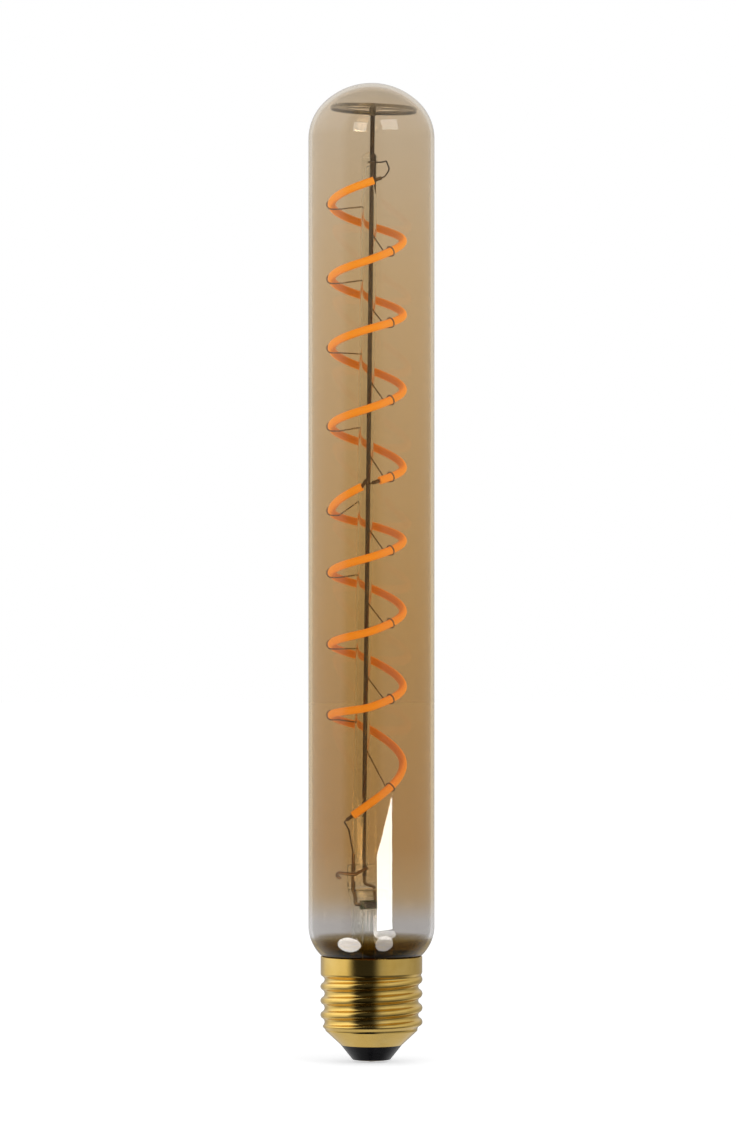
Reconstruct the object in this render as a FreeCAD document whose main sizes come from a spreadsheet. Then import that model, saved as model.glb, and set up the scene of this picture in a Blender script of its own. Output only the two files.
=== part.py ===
"""A tubular lamp with a hanging spiral filament and an Edison screw cap, in millimetres.

The origin is the lowest point of the centre contact, on the axis of the tube, and +Z runs up the tube.
The side that a viewer faces is -Y. An azimuth is measured from +X, turning towards +Y.
"""
import FreeCAD
import Part
import Sketcher
import math
import os
import re

Vector = FreeCAD.Vector
UP = Vector(0, 0, 1)
ORIGIN = Vector(0, 0, 0)

doc = FreeCAD.newDocument("tubular_lamp")

# Driving dimensions: alias, value, meaning
SIZES = (
    ("lamp_length", 250.0, "contact to crown"),
    ("tube_diameter", 32.2, "outside of the glass tube"),
    ("glass_wall", 0.9, "wall of the envelope"),
    ("crown_edge", 3.1, "middle of the crown's corner inside the tube's outside"),
    ("crown_rise", 1.3, "crown above the top of its corner's quarter circle"),
    ("shoulder_radius", 10.5, "radius of the drawn-in shoulder"),
    ("shoulder_gap", 0.07, "between the shoulder and the inside of the cap's rim"),
    ("neck_depth", 9.0, "neck below the rim of the cap, where it is sealed to the flare"),
    ("flare_lip", 0.9, "thickness of the sealed lip"),
    ("stem_diameter", 10.4, "outside of the stem tube"),
    ("stem_wall", 0.7, "wall of the stem tube"),
    ("flare_height", 14.0, "from the seal up to the plain stem tube"),
    ("flare_gap", 0.4, "between the flare and the inside of the neck"),
    ("stem_height", 6.0, "plain stem tube between the flare and the taper"),
    ("press_taper", 8.0, "height over which the stem tube is squeezed flat"),
    ("press_height", 4.5, "flat part of the press"),
    ("press_width", 11.2, "long side of the press"),
    ("press_thickness", 3.2, "short side of the press"),
    ("press_turn", 20.0, "azimuth of the press's long side, degrees"),
    ("press_offset", -0.9, "X of the middle of the press"),
    ("cavity_taper", 6.0, "height over which the bore of the stem narrows"),
    ("cavity_width", 8.0, "long side of the bore at its top"),
    ("cavity_depth", 1.6, "short side of the bore at its top"),
    ("column_diameter", 4.0, "outside of the glass column"),
    ("column_bore", 2.9, "bore of the glass column"),
    ("column_foot", -2.85, "X of the column at the press"),
    ("column_head", -0.42, "X of the column at its rounded head"),
    ("column_drop", 17.5, "tip of the column below the crown"),
    ("column_plug", 3.6, "solid glass at the head of the column"),
    ("foot_depth", 0.4, "how far the column is melted into the press"),
    ("return_diameter", 1.15, "wire inside the column"),
    ("return_foot", -2.0, "X of the return wire at the press"),
    ("return_head", 0.32, "X of the return wire at the plate"),
    ("return_depth", 2.9, "how far the return wire goes into the press"),
    ("return_stand", 0.6, "return wire above the plate"),
    ("plate_drop", 6.5, "middle of the centring plate below the crown"),
    ("plate_shift", 0.6, "X of the middle of the plate"),
    ("plate_tilt", 2.3, "fall of the plate towards +X, degrees"),
    ("plate_gap", 0.65, "between the plate and the dome on the +X side"),
    ("plate_sheet", 0.25, "thickness of the plate"),
    ("plate_flange", 0.8, "height of the turned-down rim"),
    ("window_inner", 3.0, "inner radius of the windows"),
    ("window_outer", 7.6, "outer radius of the windows"),
    ("spoke_width", 2.4, "width of the plate's spokes"),
    ("collar_radius", 0.85, "radius of the crimp under the plate"),
    ("collar_length", 1.8, "length of the crimp under the plate"),
    ("filament_diameter", 2.0, "coated filament strip"),
    ("coil_radius", 9.35, "centre line of the spiral"),
    ("coil_shift", -1.05, "X of the middle of the spiral"),
    ("coil_drop", 31.6, "first support on the column below the crown"),
    ("coil_stand", 36.3, "last left support on the column above the press"),
    ("start_azimuth", -80.0, "where the upper filament starts, degrees"),
    ("start_rise", 6.1, "start of the spiral above the first support"),
    ("joint_azimuth", -70.7, "where the upper filament ends, degrees"),
    ("joint_gap", 27.6, "turn between the two filaments, degrees"),
    ("end_azimuth", -112.0, "where the lower filament ends, degrees"),
    ("end_drop", 7.0, "end of the spiral below where an even pitch would take it"),
    ("hook_wire", 0.36, "diameter of the support wires"),
    ("hook_clearance", 0.06, "between a hook and the filament"),
    ("hook_azimuth", -50.0, "where the front supports hold the filament, degrees"),
    ("hook_reach", 1.9, "straight run of a support before its hook"),
    ("hook_bend", 0.9, "bend radius of a support wire"),
    ("hook_rest", 75.0, "where the curl of a hook has passed the filament's outer side, degrees"),
    ("hook_end", 145.0, "where the curl of a hook ends, degrees"),
    ("root_depth", 0.35, "how far a support is melted into the column"),
    ("front_root_drop", 7.4, "front supports' roots below the left ones"),
    ("tab_length", 2.1, "metal tab at each filament end"),
    ("tab_width", 0.9, "width of a tab"),
    ("tab_sheet", 0.35, "thickness of a tab"),
    ("link_wire", 0.4, "diameter of the link wires"),
    ("link_stub", 0.8, "straight run of a link wire beyond its tab"),
    ("link_drop", 2.8, "upper link below the top of the column"),
    ("joint_lift", 0.9, "rise of the lower joint tab for each unit along it"),
    ("joint_reach", 2.5, "straight run of the wire that carries the joint"),
    ("lead_wire", 0.85, "diameter of the lead wires"),
    ("stay_wire", 0.85, "diameter of the stay on the press"),
    ("cap_height", 27.0, "rim of the cap"),
    ("cap_radius", 13.0, "outside of the plain collar"),
    ("cap_sheet", 0.3, "thickness of the cap's sheet"),
    ("thread_crest", 13.05, "radius of the thread's crest"),
    ("thread_depth", 1.05, "crest to root"),
    ("thread_pitch", 3.629, "pitch of the right-handed thread"),
    ("thread_phase", 21.1, "height of a crest on the +X side"),
    ("collar_height", 4.0, "plain collar between the thread and the rim"),
    ("thread_bottom", 8.0, "upper edge of the cone"),
    ("thread_runout", 1.8, "height over which the thread fades at each end"),
    ("cone_top", 11.75, "radius of the cone at the thread"),
    ("cone_bottom", 7.8, "radius of the cone at the insulator"),
    ("insulator_top", 4.35, "height where brass meets the insulator"),
    ("insulator_foot", 0.6, "lower face of the insulator"),
    ("insulator_nose", 4.9, "radius of the insulator's lower face"),
    ("insulator_fill", 7.4, "top of the insulator inside the cap"),
    ("insulator_bore", 0.8, "radius of the wire hole"),
    ("contact_radius", 4.2, "centre contact plate"),
    ("contact_sheet", 0.45, "thickness of the contact plate"),
    ("contact_proud", 0.12, "contact plate below the insulator"),
    ("solder_radius", 1.7, "solder on the contact"),
    ("cement_gap", 1.5, "cement between the neck and the cap"),
    ("cement_seat", 0.22, "upper edge of the cement below the foot of the shoulder"),
    ("cement_height", 2.3, "height of the ring of cement"),
    ("chip_board_width", 4.8, "small board in the stem"),
    ("chip_board_height", 2.2, "small board in the stem"),
    ("chip_board_drop", 2.8, "upper edge of the small board below the top of the bore"),
    ("chip_board_along", 0.1, "middle of the small board from the middle of the press"),
    ("board_width", 11.0, "driver board in the cap"),
    ("board_reach", 3.6, "upper edge of the driver board above the end of the neck"),
    ("board_stand", 3.2, "lower edge of the driver board above the insulator"),
    ("board_along", 0.85, "middle of the driver board from the middle of the press"),
    ("board_sheet", 1.0, "thickness of both boards"),
    ("board_across", -0.4, "both boards in front of the middle of the press"),
    ("board_wire_spread", 3.4, "between the wires that join the boards"),
    ("driver_wire", 0.45, "wires between the boards and to the cap"),
    ("feed_along", -4.1, "feed lead along the press"),
    ("feed_across", -0.45, "feed lead across the press"),
    ("feed_stand", 2.8, "top of the feed lead above the press"),
    ("lead_inset", 0.6, "leads from the edges of the small board"),
    ("lead_lap", 0.3, "wires past the edge of the board that they meet"),
    ("chip_width", 2.8, "driver chip"),
    ("chip_thickness", 0.9, "driver chip in front of its board"),
    ("chip_height", 1.4, "driver chip"),
    ("chip_drop", 1.9, "foot of the chip below the top of its board"),
    ("bridge_width", 4.7, "bridge rectifier"),
    ("bridge_thickness", 2.2, "bridge rectifier in front of the board"),
    ("bridge_height", 3.9, "bridge rectifier"),
    ("bridge_along", 3.1, "bridge rectifier from the middle of the board"),
    ("bridge_stand", 5.0, "foot of the bridge rectifier above the foot of the board"),
    ("capacitor_diameter", 6.3, "smoothing capacitor"),
    ("capacitor_height", 8.0, "smoothing capacitor"),
    ("capacitor_along", -2.5, "smoothing capacitor from the middle of the board"),
    ("resistor_diameter", 2.4, "fuse resistor"),
    ("resistor_height", 6.0, "fuse resistor"),
    ("resistor_along", -2.5, "fuse resistor from the middle of the board"),
    ("resistor_stand", 3.4, "foot of the fuse resistor above the foot of the board"),
    ("shell_wire_turn", 0.56, "where the wire meets the cap, as a share of a turn"),
    ("shell_wire_stand", 2.0, "wire above the cone where it meets the cap"),
)

# Heights and sizes that follow from those, each from the piece that it rests on or fits in
FOLLOWING = {
    "dome_corner": "tube_diameter / 2 - crown_edge",
    "dome_start": "lamp_length - crown_rise - dome_corner",
    "crown_drop": "(crown_edge^2 - crown_rise^2) / (2 * crown_rise)",
    "crown_radius": "dome_corner + crown_rise + crown_drop",
    "shoulder_centre": "tube_diameter / 2 - shoulder_radius",
    "rim_inside": "cap_radius - cap_sheet",
    "shoulder_start": "cap_height"
                      " + sqrt(shoulder_radius^2 - (rim_inside - shoulder_gap - shoulder_centre)^2)",
    "neck_radius": "rim_inside - cement_gap",
    "shoulder_foot": "shoulder_start - sqrt(shoulder_radius^2 - (neck_radius - shoulder_centre)^2)",
    "neck_end": "cap_height - neck_depth",
    "flare_throw": "neck_radius - glass_wall - flare_gap",
    "flare_top": "neck_end + flare_height",
    "press_start": "flare_top + stem_height",
    "press_full": "press_start + press_taper",
    "press_top": "press_full + press_height",
    "cavity_top": "press_start + cavity_taper",
    "column_top": "lamp_length - column_drop",
    "plate_height": "lamp_length - plate_drop",
    "plate_radius": "crown_edge + sqrt((dome_corner - glass_wall)^2 - (plate_height - dome_start)^2)"
                    " - plate_shift - plate_gap",
    "first_root": "lamp_length - coil_drop",
    "thread_top": "cap_height - collar_height",
    "cement_top": "shoulder_foot - cement_seat",
    "cement_bottom": "cement_top - cement_height",
    "chip_board_top": "cavity_top - chip_board_drop",
    "chip_board_bottom": "chip_board_top - chip_board_height",
    "board_top": "neck_end + board_reach",
    "board_bottom": "insulator_fill + board_stand",
    "feed_top": "press_top + feed_stand",
    "shell_wire_height": "thread_bottom + shell_wire_stand",
}

# How far the spiral was bent up by hand at the left, back, right and front of each turn
RISES = (
    (0.5, 0.6, 0.8, -0.2),
    (0.4, 0.8, 0.6, 1.2),
    (1.5, 1.2, 0.3, -0.2),
    (0.3, 0.6, -0.9, -0.5),
    (-2.7, -1.1, -0.6, -0.5),
    (0.5, 1.7, 0.1, -0.6),
    (1.1, 2.1, -0.4, -1.0),
    (1.9, 3.0, -1.2),
)
UPPER_TURNS = 4
TURNS = len(RISES)

sheet = doc.addObject("Spreadsheet::Sheet", "Sizes")
for row, (alias, number, meaning) in enumerate(SIZES, start=1):
    sheet.set(f"A{row}", alias)
    sheet.set(f"B{row}", str(number))
    sheet.set(f"C{row}", meaning)
    sheet.setAlias(f"B{row}", alias)
doc.recompute()
aliases = {alias for alias, _, _ in SIZES}

PARTS = []


def formula(text):
    """The same formula with each name written as a cell of the sheet or as what it follows from."""
    def spelled(match):
        name = match.group()
        if name in FOLLOWING:
            return f"({formula(FOLLOWING[name])})"
        return f"Sizes.{name}" if name in aliases else name
    return re.sub(r"[a-z][a-z_]+", spelled, text)


def worth(text):
    """The value of a formula."""
    return float(sheet.evalExpression(formula(text).replace("Sizes.", "")))


size = {name: worth(name) for name in (*(alias for alias, _, _ in SIZES), *FOLLOWING)}


def bind(obj, **formulas):
    """Binds properties of an object to formulas; Base_x stands for Placement.Base.x and so on."""
    for name, text in formulas.items():
        name = name.replace("Base_", "Placement.Base.").replace("Turn", "Placement.Rotation.Angle")
        obj.setExpression(name, formula(text))
    return obj


def piece(obj):
    """Counts an object as one of the lamp's pieces."""
    PARTS.append(obj)
    return obj


def shaped(label, shape):
    """An object with a shape made by the functions below."""
    obj = doc.addObject("Part::Feature", label)
    obj.Shape = shape.Solids[0] if len(shape.Solids) == 1 else shape
    return obj


def cylinder(label, radius, length, base="0"):
    obj = doc.addObject("Part::Cylinder", label)
    return bind(obj, Radius=radius, Height=length, Base_z=base)


def cut(label, base, *tools):
    """base less the tools."""
    obj = doc.addObject("Part::Cut", label)
    obj.Base = base
    if len(tools) == 1:
        obj.Tool = tools[0]
    else:
        obj.Tool = doc.addObject("Part::Compound", label + "_tools")
        obj.Tool.Links = list(tools)
    return obj


def fuse(label, *members):
    obj = doc.addObject("Part::MultiFuse", label)
    obj.Shapes = list(members)
    return obj


def arc_centre(start, end, radius, turns_left):
    """Centre of the smaller arc of that radius from start to end, on the side to which it turns."""
    chord = (end[0] - start[0], end[1] - start[1])
    length = math.hypot(*chord)
    rise = math.sqrt(radius * radius - length * length / 4) / length
    side = 1 if turns_left else -1
    return (
        (start[0] + end[0]) / 2 - side * rise * chord[1],
        (start[1] + end[1]) / 2 + side * rise * chord[0],
    )


def turned(label, outline):
    """A body of revolution about Z. An outline entry is radius, height and, where an arc leads
    to the point, the arc's radius and whether it turns left."""
    body = doc.addObject("PartDesign::Body", label)
    sketch = body.newObject("Sketcher::SketchObject", label + "_outline")
    plane = next(f for f in body.Origin.OriginFeatures if f.Role == "XZ_Plane")
    sketch.AttachmentSupport = (plane, [""])
    sketch.MapMode = "FlatFace"
    points = [(worth(entry[0]), worth(entry[1])) for entry in outline]
    ends = []
    for index, entry in enumerate(outline):
        start, end = points[index - 1], points[index]
        if len(entry) == 2:
            sketch.addGeometry(Part.LineSegment(Vector(*start, 0), Vector(*end, 0)))
            ends.append((1, 2))
            continue
        radius, left = worth(entry[2]), entry[3]
        centre = arc_centre(start, end, radius, left)
        first, last = (start, end) if left else (end, start)
        angles = [math.atan2(p[1] - centre[1], p[0] - centre[0]) for p in (first, last)]
        circle = Part.Circle(Vector(*centre, 0), UP, radius)
        sketch.addGeometry(Part.ArcOfCircle(circle, *angles))
        ends.append((1, 2) if left else (2, 1))
    for index, entry in enumerate(outline):
        following = (index + 1) % len(outline)
        corner = ends[index][1]
        sketch.addConstraint(Sketcher.Constraint("Coincident", index, corner, following, ends[following][0]))
        for kind, axis, text, number in (
            ("DistanceX", -2, entry[0], points[index][0]),
            ("DistanceY", -1, entry[1], points[index][1]),
        ):
            if text == "0":
                sketch.addConstraint(Sketcher.Constraint("PointOnObject", index, corner, axis))
            else:
                row = sketch.addConstraint(Sketcher.Constraint(kind, -1, 1, index, corner, number))
                sketch.setExpression(f"Constraints[{row}]", formula(text))
        if len(entry) == 4:
            row = sketch.addConstraint(Sketcher.Constraint("Radius", index, worth(entry[2])))
            sketch.setExpression(f"Constraints[{row}]", formula(entry[2]))
    spin = body.newObject("PartDesign::Revolution", label + "_turned")
    spin.Profile = sketch
    spin.ReferenceAxis = (sketch, ["V_Axis"])
    spin.Angle = 360
    sketch.Visibility = False
    return body


def leaning(obj, foot, head):
    """Stands an object that was made along Z on foot, leaning towards head."""
    obj.Placement = FreeCAD.Placement(foot, FreeCAD.Rotation(UP, head - foot))
    return obj


def rounded(points, bend=None):
    """Straight runs joined by tangent arcs of radius bend, or as large as the runs allow."""
    edges = []
    start = points[0]
    for before, corner, after in zip(points, points[1:], points[2:]):
        arriving, leaving = (corner - before), (after - corner)
        run = min(arriving.Length, leaving.Length)
        arriving.normalize()
        leaving.normalize()
        half_turn = arriving.getAngle(leaving) / 2
        setback = 0.45 * run
        if bend:
            setback = min(setback, bend * math.tan(half_turn))
        radius = setback / math.tan(half_turn)
        inward = (leaving - arriving).normalize()
        arc_start, arc_end = corner - arriving * setback, corner + leaving * setback
        middle = corner + inward * (radius / math.cos(half_turn) - radius)
        edges.append(Part.makeLine(start, arc_start))
        edges.append(Part.Arc(arc_start, middle, arc_end).toShape())
        start = arc_end
    edges.append(Part.makeLine(start, points[-1]))
    return edges


def swept(label, edges, diameter):
    """A round wire along joined edges."""
    route = doc.addObject("Part::Feature", label + "_route")
    route.Shape = Part.Wire(edges)
    first = edges[0]
    start, direction = first.valueAt(first.FirstParameter), first.tangentAt(first.FirstParameter)
    section = doc.addObject("Part::Circle", label + "_section")
    bind(section, Radius=f"{diameter} / 2")
    section.Placement = FreeCAD.Placement(start, FreeCAD.Rotation(UP, direction))
    rod = doc.addObject("Part::Sweep", label)
    rod.Sections = [section]
    rod.Spine = (route, [f"Edge{number + 1}" for number in range(len(edges))])
    rod.Solid = True
    rod.Frenet = False
    return rod


def wire(label, points, diameter, bend=None, meets=()):
    """A bent wire that ends face to face with the pieces that it meets."""
    if not meets:
        return piece(swept(label, rounded(points, bend), diameter))
    return piece(cut(label, swept(label + "_uncut", rounded(points, bend), diameter), *meets))


# Glass envelope: tube, domed crown, drawn-in shoulder and neck
def crown_joint(inset):
    """Where the corner arc meets the crown arc, for the outside or, with an inset, the inside."""
    share = f"(crown_radius - {inset}) / (crown_radius - dome_corner)"
    return f"{share} * crown_edge", f"dome_start - crown_drop + {share} * crown_drop"


def shoulder_end(inset):
    """Height where the shoulder arc reaches the neck's outside or, with an inset, its inside."""
    reach = f"(neck_radius - {inset} - shoulder_centre)"
    return f"shoulder_start - sqrt((shoulder_radius - {inset})^2 - {reach}^2)"


def make_envelope():
    outside, inside = "0", "glass_wall"
    body = turned("glass_envelope", (
        ("0", "lamp_length"),
        (*crown_joint(outside), "crown_radius", False),
        ("tube_diameter / 2", "dome_start", "dome_corner", False),
        ("tube_diameter / 2", "shoulder_start"),
        ("neck_radius", shoulder_end(outside), "shoulder_radius", False),
        ("neck_radius", "neck_end"),
        ("neck_radius - glass_wall", "neck_end"),
        ("neck_radius - glass_wall", shoulder_end(inside)),
        ("tube_diameter / 2 - glass_wall", "shoulder_start", "shoulder_radius - glass_wall", True),
        ("tube_diameter / 2 - glass_wall", "dome_start"),
        (*crown_joint(inside), "dome_corner - glass_wall", True),
        ("0", "lamp_length - glass_wall", "crown_radius - glass_wall", True),
    ))
    return piece(body)


# Edison screw cap: one rolled sheet with a plain collar, a thread and a cone
STEPS_ROUND = 24
STEPS_PER_PITCH = 12


def fade(share):
    """A smooth step from 0 to 1."""
    share = min(1.0, max(0.0, share))
    return share * share * (3 - 2 * share)


def cap_outside(turn, height):
    """Outer radius of the threaded sheet at a turn, from 0 to 1, and a height."""
    pitch, depth = size["thread_pitch"], size["thread_depth"]
    arc = (pitch ** 2 / 4 + depth ** 2) / (4 * depth)
    along = (height - size["thread_phase"] - pitch * turn) % pitch
    along = min(along, pitch - along)
    if along < pitch / 4:
        wave = size["thread_crest"] - arc + math.sqrt(arc ** 2 - along ** 2)
    else:
        wave = size["thread_crest"] - depth + arc - math.sqrt(arc ** 2 - (pitch / 2 - along) ** 2)
    top = fade((size["thread_top"] - height) / size["thread_runout"])
    bottom = fade((height - size["thread_bottom"]) / size["thread_runout"])
    wave = size["cap_radius"] + (wave - size["cap_radius"]) * top
    return size["cone_top"] + (wave - size["cone_top"]) * bottom


def threaded_face(inset):
    """The rolled surface between the collar and the cone, moved in by inset."""
    low, high = size["thread_bottom"], size["thread_top"]
    height_steps = round(STEPS_PER_PITCH * (high - low) / size["thread_pitch"])
    grid = []
    for i in range(STEPS_ROUND + 1):
        turn = i / STEPS_ROUND
        angle = 2 * math.pi * turn
        row = []
        for j in range(height_steps + 1):
            height = low + (high - low) * j / height_steps
            radius = cap_outside(turn % 1, height) - inset
            row.append(Vector(radius * math.cos(angle), radius * math.sin(angle), height))
        grid.append(row)
    surface = Part.BSplineSurface()
    surface.interpolate(grid)
    return surface.toShape()


def sheet_ring(section):
    """A ring turned about Z from a closed section of radii and heights."""
    points = [Vector(radius, 0, height) for radius, height in section]
    return Part.Face(Part.makePolygon(points + points[:1])).revolve(ORIGIN, UP, 360)


def level_edge(face, height):
    """The closed edge of a face at a height."""
    def is_level(edge):
        return all(abs(point.z - height) < 1e-4 for point in edge.discretize(5))
    return Part.Wire([edge for edge in face.Edges if is_level(edge)])


def make_cap_shell():
    wall = size["cap_sheet"]
    outside, inside = threaded_face(0), threaded_face(wall)
    ends = []
    for height in (size["thread_bottom"], size["thread_top"]):
        disc, hole = (Part.Face(level_edge(face, height)) for face in (outside, inside))
        ends += disc.cut(hole).Faces
    band = Part.Solid(Part.Shell([outside, inside, *ends]))
    collar = sheet_ring((
        (size["cap_radius"], size["thread_top"]),
        (size["cap_radius"], size["cap_height"]),
        (size["cap_radius"] - wall, size["cap_height"]),
        (size["cap_radius"] - wall, size["thread_top"]),
    ))
    cone = sheet_ring((
        (size["cone_top"], size["thread_bottom"]),
        (size["cone_bottom"], size["insulator_top"]),
        (size["cone_bottom"] - wall, size["insulator_top"]),
        (size["cone_top"] - wall, size["thread_bottom"]),
    ))
    rolled = band.fuse([collar, cone], 0.001)
    return piece(shaped("cap_shell", rolled.Solids[0]))


CONE_SLOPE = "((cone_top - cone_bottom) / (thread_bottom - insulator_top))"


def make_cap_fittings():
    piece(turned("cap_insulator", (
        ("insulator_bore", "insulator_foot + contact_sheet - contact_proud"),
        ("contact_radius", "insulator_foot + contact_sheet - contact_proud"),
        ("contact_radius", "insulator_foot"),
        ("insulator_nose", "insulator_foot"),
        ("cone_bottom", "insulator_top"),
        ("cone_bottom - cap_sheet", "insulator_top"),
        (f"cone_bottom - cap_sheet + {CONE_SLOPE} * (insulator_fill - insulator_top)", "insulator_fill"),
        ("insulator_bore", "insulator_fill"),
    )))
    plate_bottom = "(insulator_foot - contact_proud)"
    piece(turned("contact_plate", (
        ("driver_wire / 2", plate_bottom),
        ("contact_radius - contact_proud", plate_bottom),
        ("contact_radius", "insulator_foot"),
        ("contact_radius", f"{plate_bottom} + contact_sheet"),
        ("driver_wire / 2", f"{plate_bottom} + contact_sheet"),
    )))
    dome = f"((solder_radius^2 + {plate_bottom}^2) / (2 * {plate_bottom}))"
    solder = turned("solder_dome", (
        ("0", "0"),
        ("solder_radius", plate_bottom, dome, True),
        ("0", plate_bottom),
    ))
    core = cylinder("contact_wire", "driver_wire / 2", f"board_bottom - {plate_bottom}", plate_bottom)
    piece(core)
    piece(cut("contact_solder", solder, core))
    piece(turned("cap_cement", (
        ("neck_radius", "cement_bottom"),
        ("rim_inside", "cement_bottom"),
        ("rim_inside", "cement_top"),
        ("neck_radius", "cement_top"),
    )))


# The press frame: along its long side, across it towards the back, and up
def in_press(along, across, height):
    azimuth = math.radians(size["press_turn"])
    long_side = Vector(math.cos(azimuth), math.sin(azimuth), 0)
    short_side = Vector(-math.sin(azimuth), math.cos(azimuth), 0)
    return Vector(size["press_offset"], 0, height) + long_side * along + short_side * across


def slot(width, thickness, height):
    """A slot-shaped outline in the press frame, cut at its four quadrants."""
    radius = thickness / 2
    half = width / 2 - radius
    corners = [in_press(half, -radius, height), in_press(half, radius, height),
               in_press(-half, radius, height), in_press(-half, -radius, height)]
    right, left = in_press(half + radius, 0, height), in_press(-half - radius, 0, height)
    return Part.Wire([
        Part.Arc(corners[0], right, corners[1]).toShape(),
        Part.makeLine(corners[1], corners[2]),
        Part.Arc(corners[2], left, corners[3]).toShape(),
        Part.makeLine(corners[3], corners[0]),
    ])


def quartered(radius, height):
    """A circle about the axis in four arcs that face the sides of the slot."""
    turn = size["press_turn"]
    arcs = []
    for quarter in range(4):
        start = turn - 45 + 90 * quarter
        arcs.append(Part.makeCircle(radius, Vector(0, 0, height), UP, start, start + 90))
    return Part.Wire(arcs)


def make_stem(melted_in):
    """Flare, stem tube and flattened press in one piece of glass, melted round the wires."""
    outer, inner = size["stem_diameter"] / 2, size["stem_diameter"] / 2 - size["stem_wall"]
    drop = size["flare_top"] - size["neck_end"]
    widening = size["flare_throw"] - outer
    flare = (widening ** 2 + drop ** 2) / (2 * widening)
    bottom = size["neck_end"] - size["flare_lip"]
    lip = size["neck_radius"]

    def flare_radius(radius, height):
        return outer + flare - math.sqrt(radius ** 2 - (size["flare_top"] - height) ** 2)

    def flare_arc(radius, low, high):
        heights = (low, (low + high) / 2, high)
        return Part.Arc(*(Vector(flare_radius(radius, h), 0, h) for h in heights)).toShape()

    bore_lip = flare_radius(flare + size["stem_wall"], bottom)
    outline = Part.Wire([
        Part.makeLine(Vector(bore_lip, 0, bottom), Vector(lip, 0, bottom)),
        Part.makeLine(Vector(lip, 0, bottom), Vector(lip, 0, size["neck_end"])),
        Part.makeLine(Vector(lip, 0, size["neck_end"]), Vector(size["flare_throw"], 0, size["neck_end"])),
        flare_arc(flare, size["neck_end"], size["flare_top"]),
        Part.makeLine(Vector(outer, 0, size["flare_top"]), Vector(outer, 0, size["press_start"])),
        Part.makeLine(Vector(outer, 0, size["press_start"]), Vector(inner, 0, size["press_start"])),
        Part.makeLine(Vector(inner, 0, size["press_start"]), Vector(inner, 0, size["flare_top"])),
        flare_arc(flare + size["stem_wall"], size["flare_top"], bottom),
    ])
    tube = Part.Face(outline).revolve(ORIGIN, UP, 360)
    width, thickness = size["press_width"], size["press_thickness"]
    hood = Part.makeLoft([quartered(outer, size["press_start"]),
                          slot(width, thickness, size["press_full"])], True)
    cavity = Part.makeLoft([quartered(inner, size["press_start"]),
                            slot(size["cavity_width"], size["cavity_depth"], size["cavity_top"])], True)
    flat = Part.Face(slot(width, thickness, size["press_full"]))
    press = flat.extrude(UP * (size["press_top"] - size["press_full"]))
    glass = hood.cut(cavity).fuse([tube, press])
    return piece(cut("glass_stem", shaped("stem_blown", glass.removeSplitter()), *melted_in))


# Glass column with the return wire inside it and the centring plate on top
def column_axis(height):
    """The middle of the leaning column at a height."""
    share = (height - size["press_top"]) / (size["column_top"] - size["press_top"])
    return Vector(size["column_foot"] + share * (size["column_head"] - size["column_foot"]), 0, height)


def return_axis(height):
    share = (height - size["press_top"]) / (size["plate_height"] - size["press_top"])
    return Vector(size["return_foot"] + share * (size["return_head"] - size["return_foot"]), 0, height)


def make_return_wire():
    foot = return_axis(size["press_top"] - size["return_depth"])
    head = return_axis(size["plate_height"] + size["return_stand"])
    rod = doc.addObject("Part::Cylinder", "return_wire")
    bind(rod, Radius="return_diameter / 2",
         Height="plate_height - press_top + return_depth + return_stand")
    return piece(leaning(rod, foot, head))


def make_column(melted_in):
    """The hollow column, closed and rounded at its head, with a hole for each wire."""
    foot = column_axis(size["press_top"] - size["foot_depth"])
    head = column_axis(size["column_top"])
    shaft = "(column_top - press_top + foot_depth - column_diameter / 2)"
    rod = cylinder("column_rod", "column_diameter / 2", shaft)
    tip = doc.addObject("Part::Sphere", "column_tip")
    bind(tip, Radius="column_diameter / 2", Base_z=shaft)
    bore = cylinder("column_hollow", "column_bore / 2", f"{shaft} + column_diameter / 2 - column_plug")
    column = cut("column_tube", fuse("column_glass", rod, tip), bore)
    leaning(column, foot, head)
    return piece(cut("glass_column", column, *melted_in))


def make_plate(rod):
    disc = cylinder("plate_disc", "plate_radius", "plate_sheet")
    flange = cylinder("plate_rim", "plate_radius", "plate_flange", "plate_sheet - plate_flange")
    hollow = cylinder("plate_inside", "plate_radius - plate_sheet", "plate_flange", "0 - plate_flange")
    around = cylinder("window_outside", "window_outer", "plate_sheet")
    middle = cylinder("window_inside", "window_inner", "plate_sheet")
    spokes = []
    for name, across_x in (("spoke_x", True), ("spoke_y", False)):
        spoke = doc.addObject("Part::Box", name)
        long_side, short_side = ("Length", "Width") if across_x else ("Width", "Length")
        bind(spoke, **{long_side: "plate_radius * 2", short_side: "spoke_width", "Height": "plate_sheet"})
        long_base, short_base = ("Base_x", "Base_y") if across_x else ("Base_y", "Base_x")
        bind(spoke, **{long_base: "0 - plate_radius", short_base: "0 - spoke_width / 2"})
        spokes.append(spoke)
    windows = cut("plate_windows", around, middle, *spokes)
    stamped = cut("plate_stamped", fuse("plate_blank", disc, flange), hollow, windows)
    stamped.Placement.Rotation = FreeCAD.Rotation(Vector(0, 1, 0), size["plate_tilt"])
    bind(stamped, Base_x="plate_shift", Base_z="plate_height")
    piece(cut("centring_plate", stamped, rod))
    top = return_axis(size["plate_height"])
    crimp = doc.addObject("Part::Cylinder", "crimp_blank")
    bind(crimp, Radius="collar_radius", Height="collar_length")
    leaning(crimp, return_axis(size["plate_height"] - size["collar_length"]), top)
    piece(cut("plate_crimp", crimp, rod, stamped))


# The spiral: two filaments in series, wound downwards from the top, on supports
COIL_PITCH = (size["first_root"] - size["press_top"] - size["coil_stand"]) / (TURNS - 1)
BEND_STEP = 26


def turn_angle(turn, azimuth):
    """Angle wound down to an azimuth on a turn, counted from 0."""
    return -360 * turn + azimuth


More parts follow.
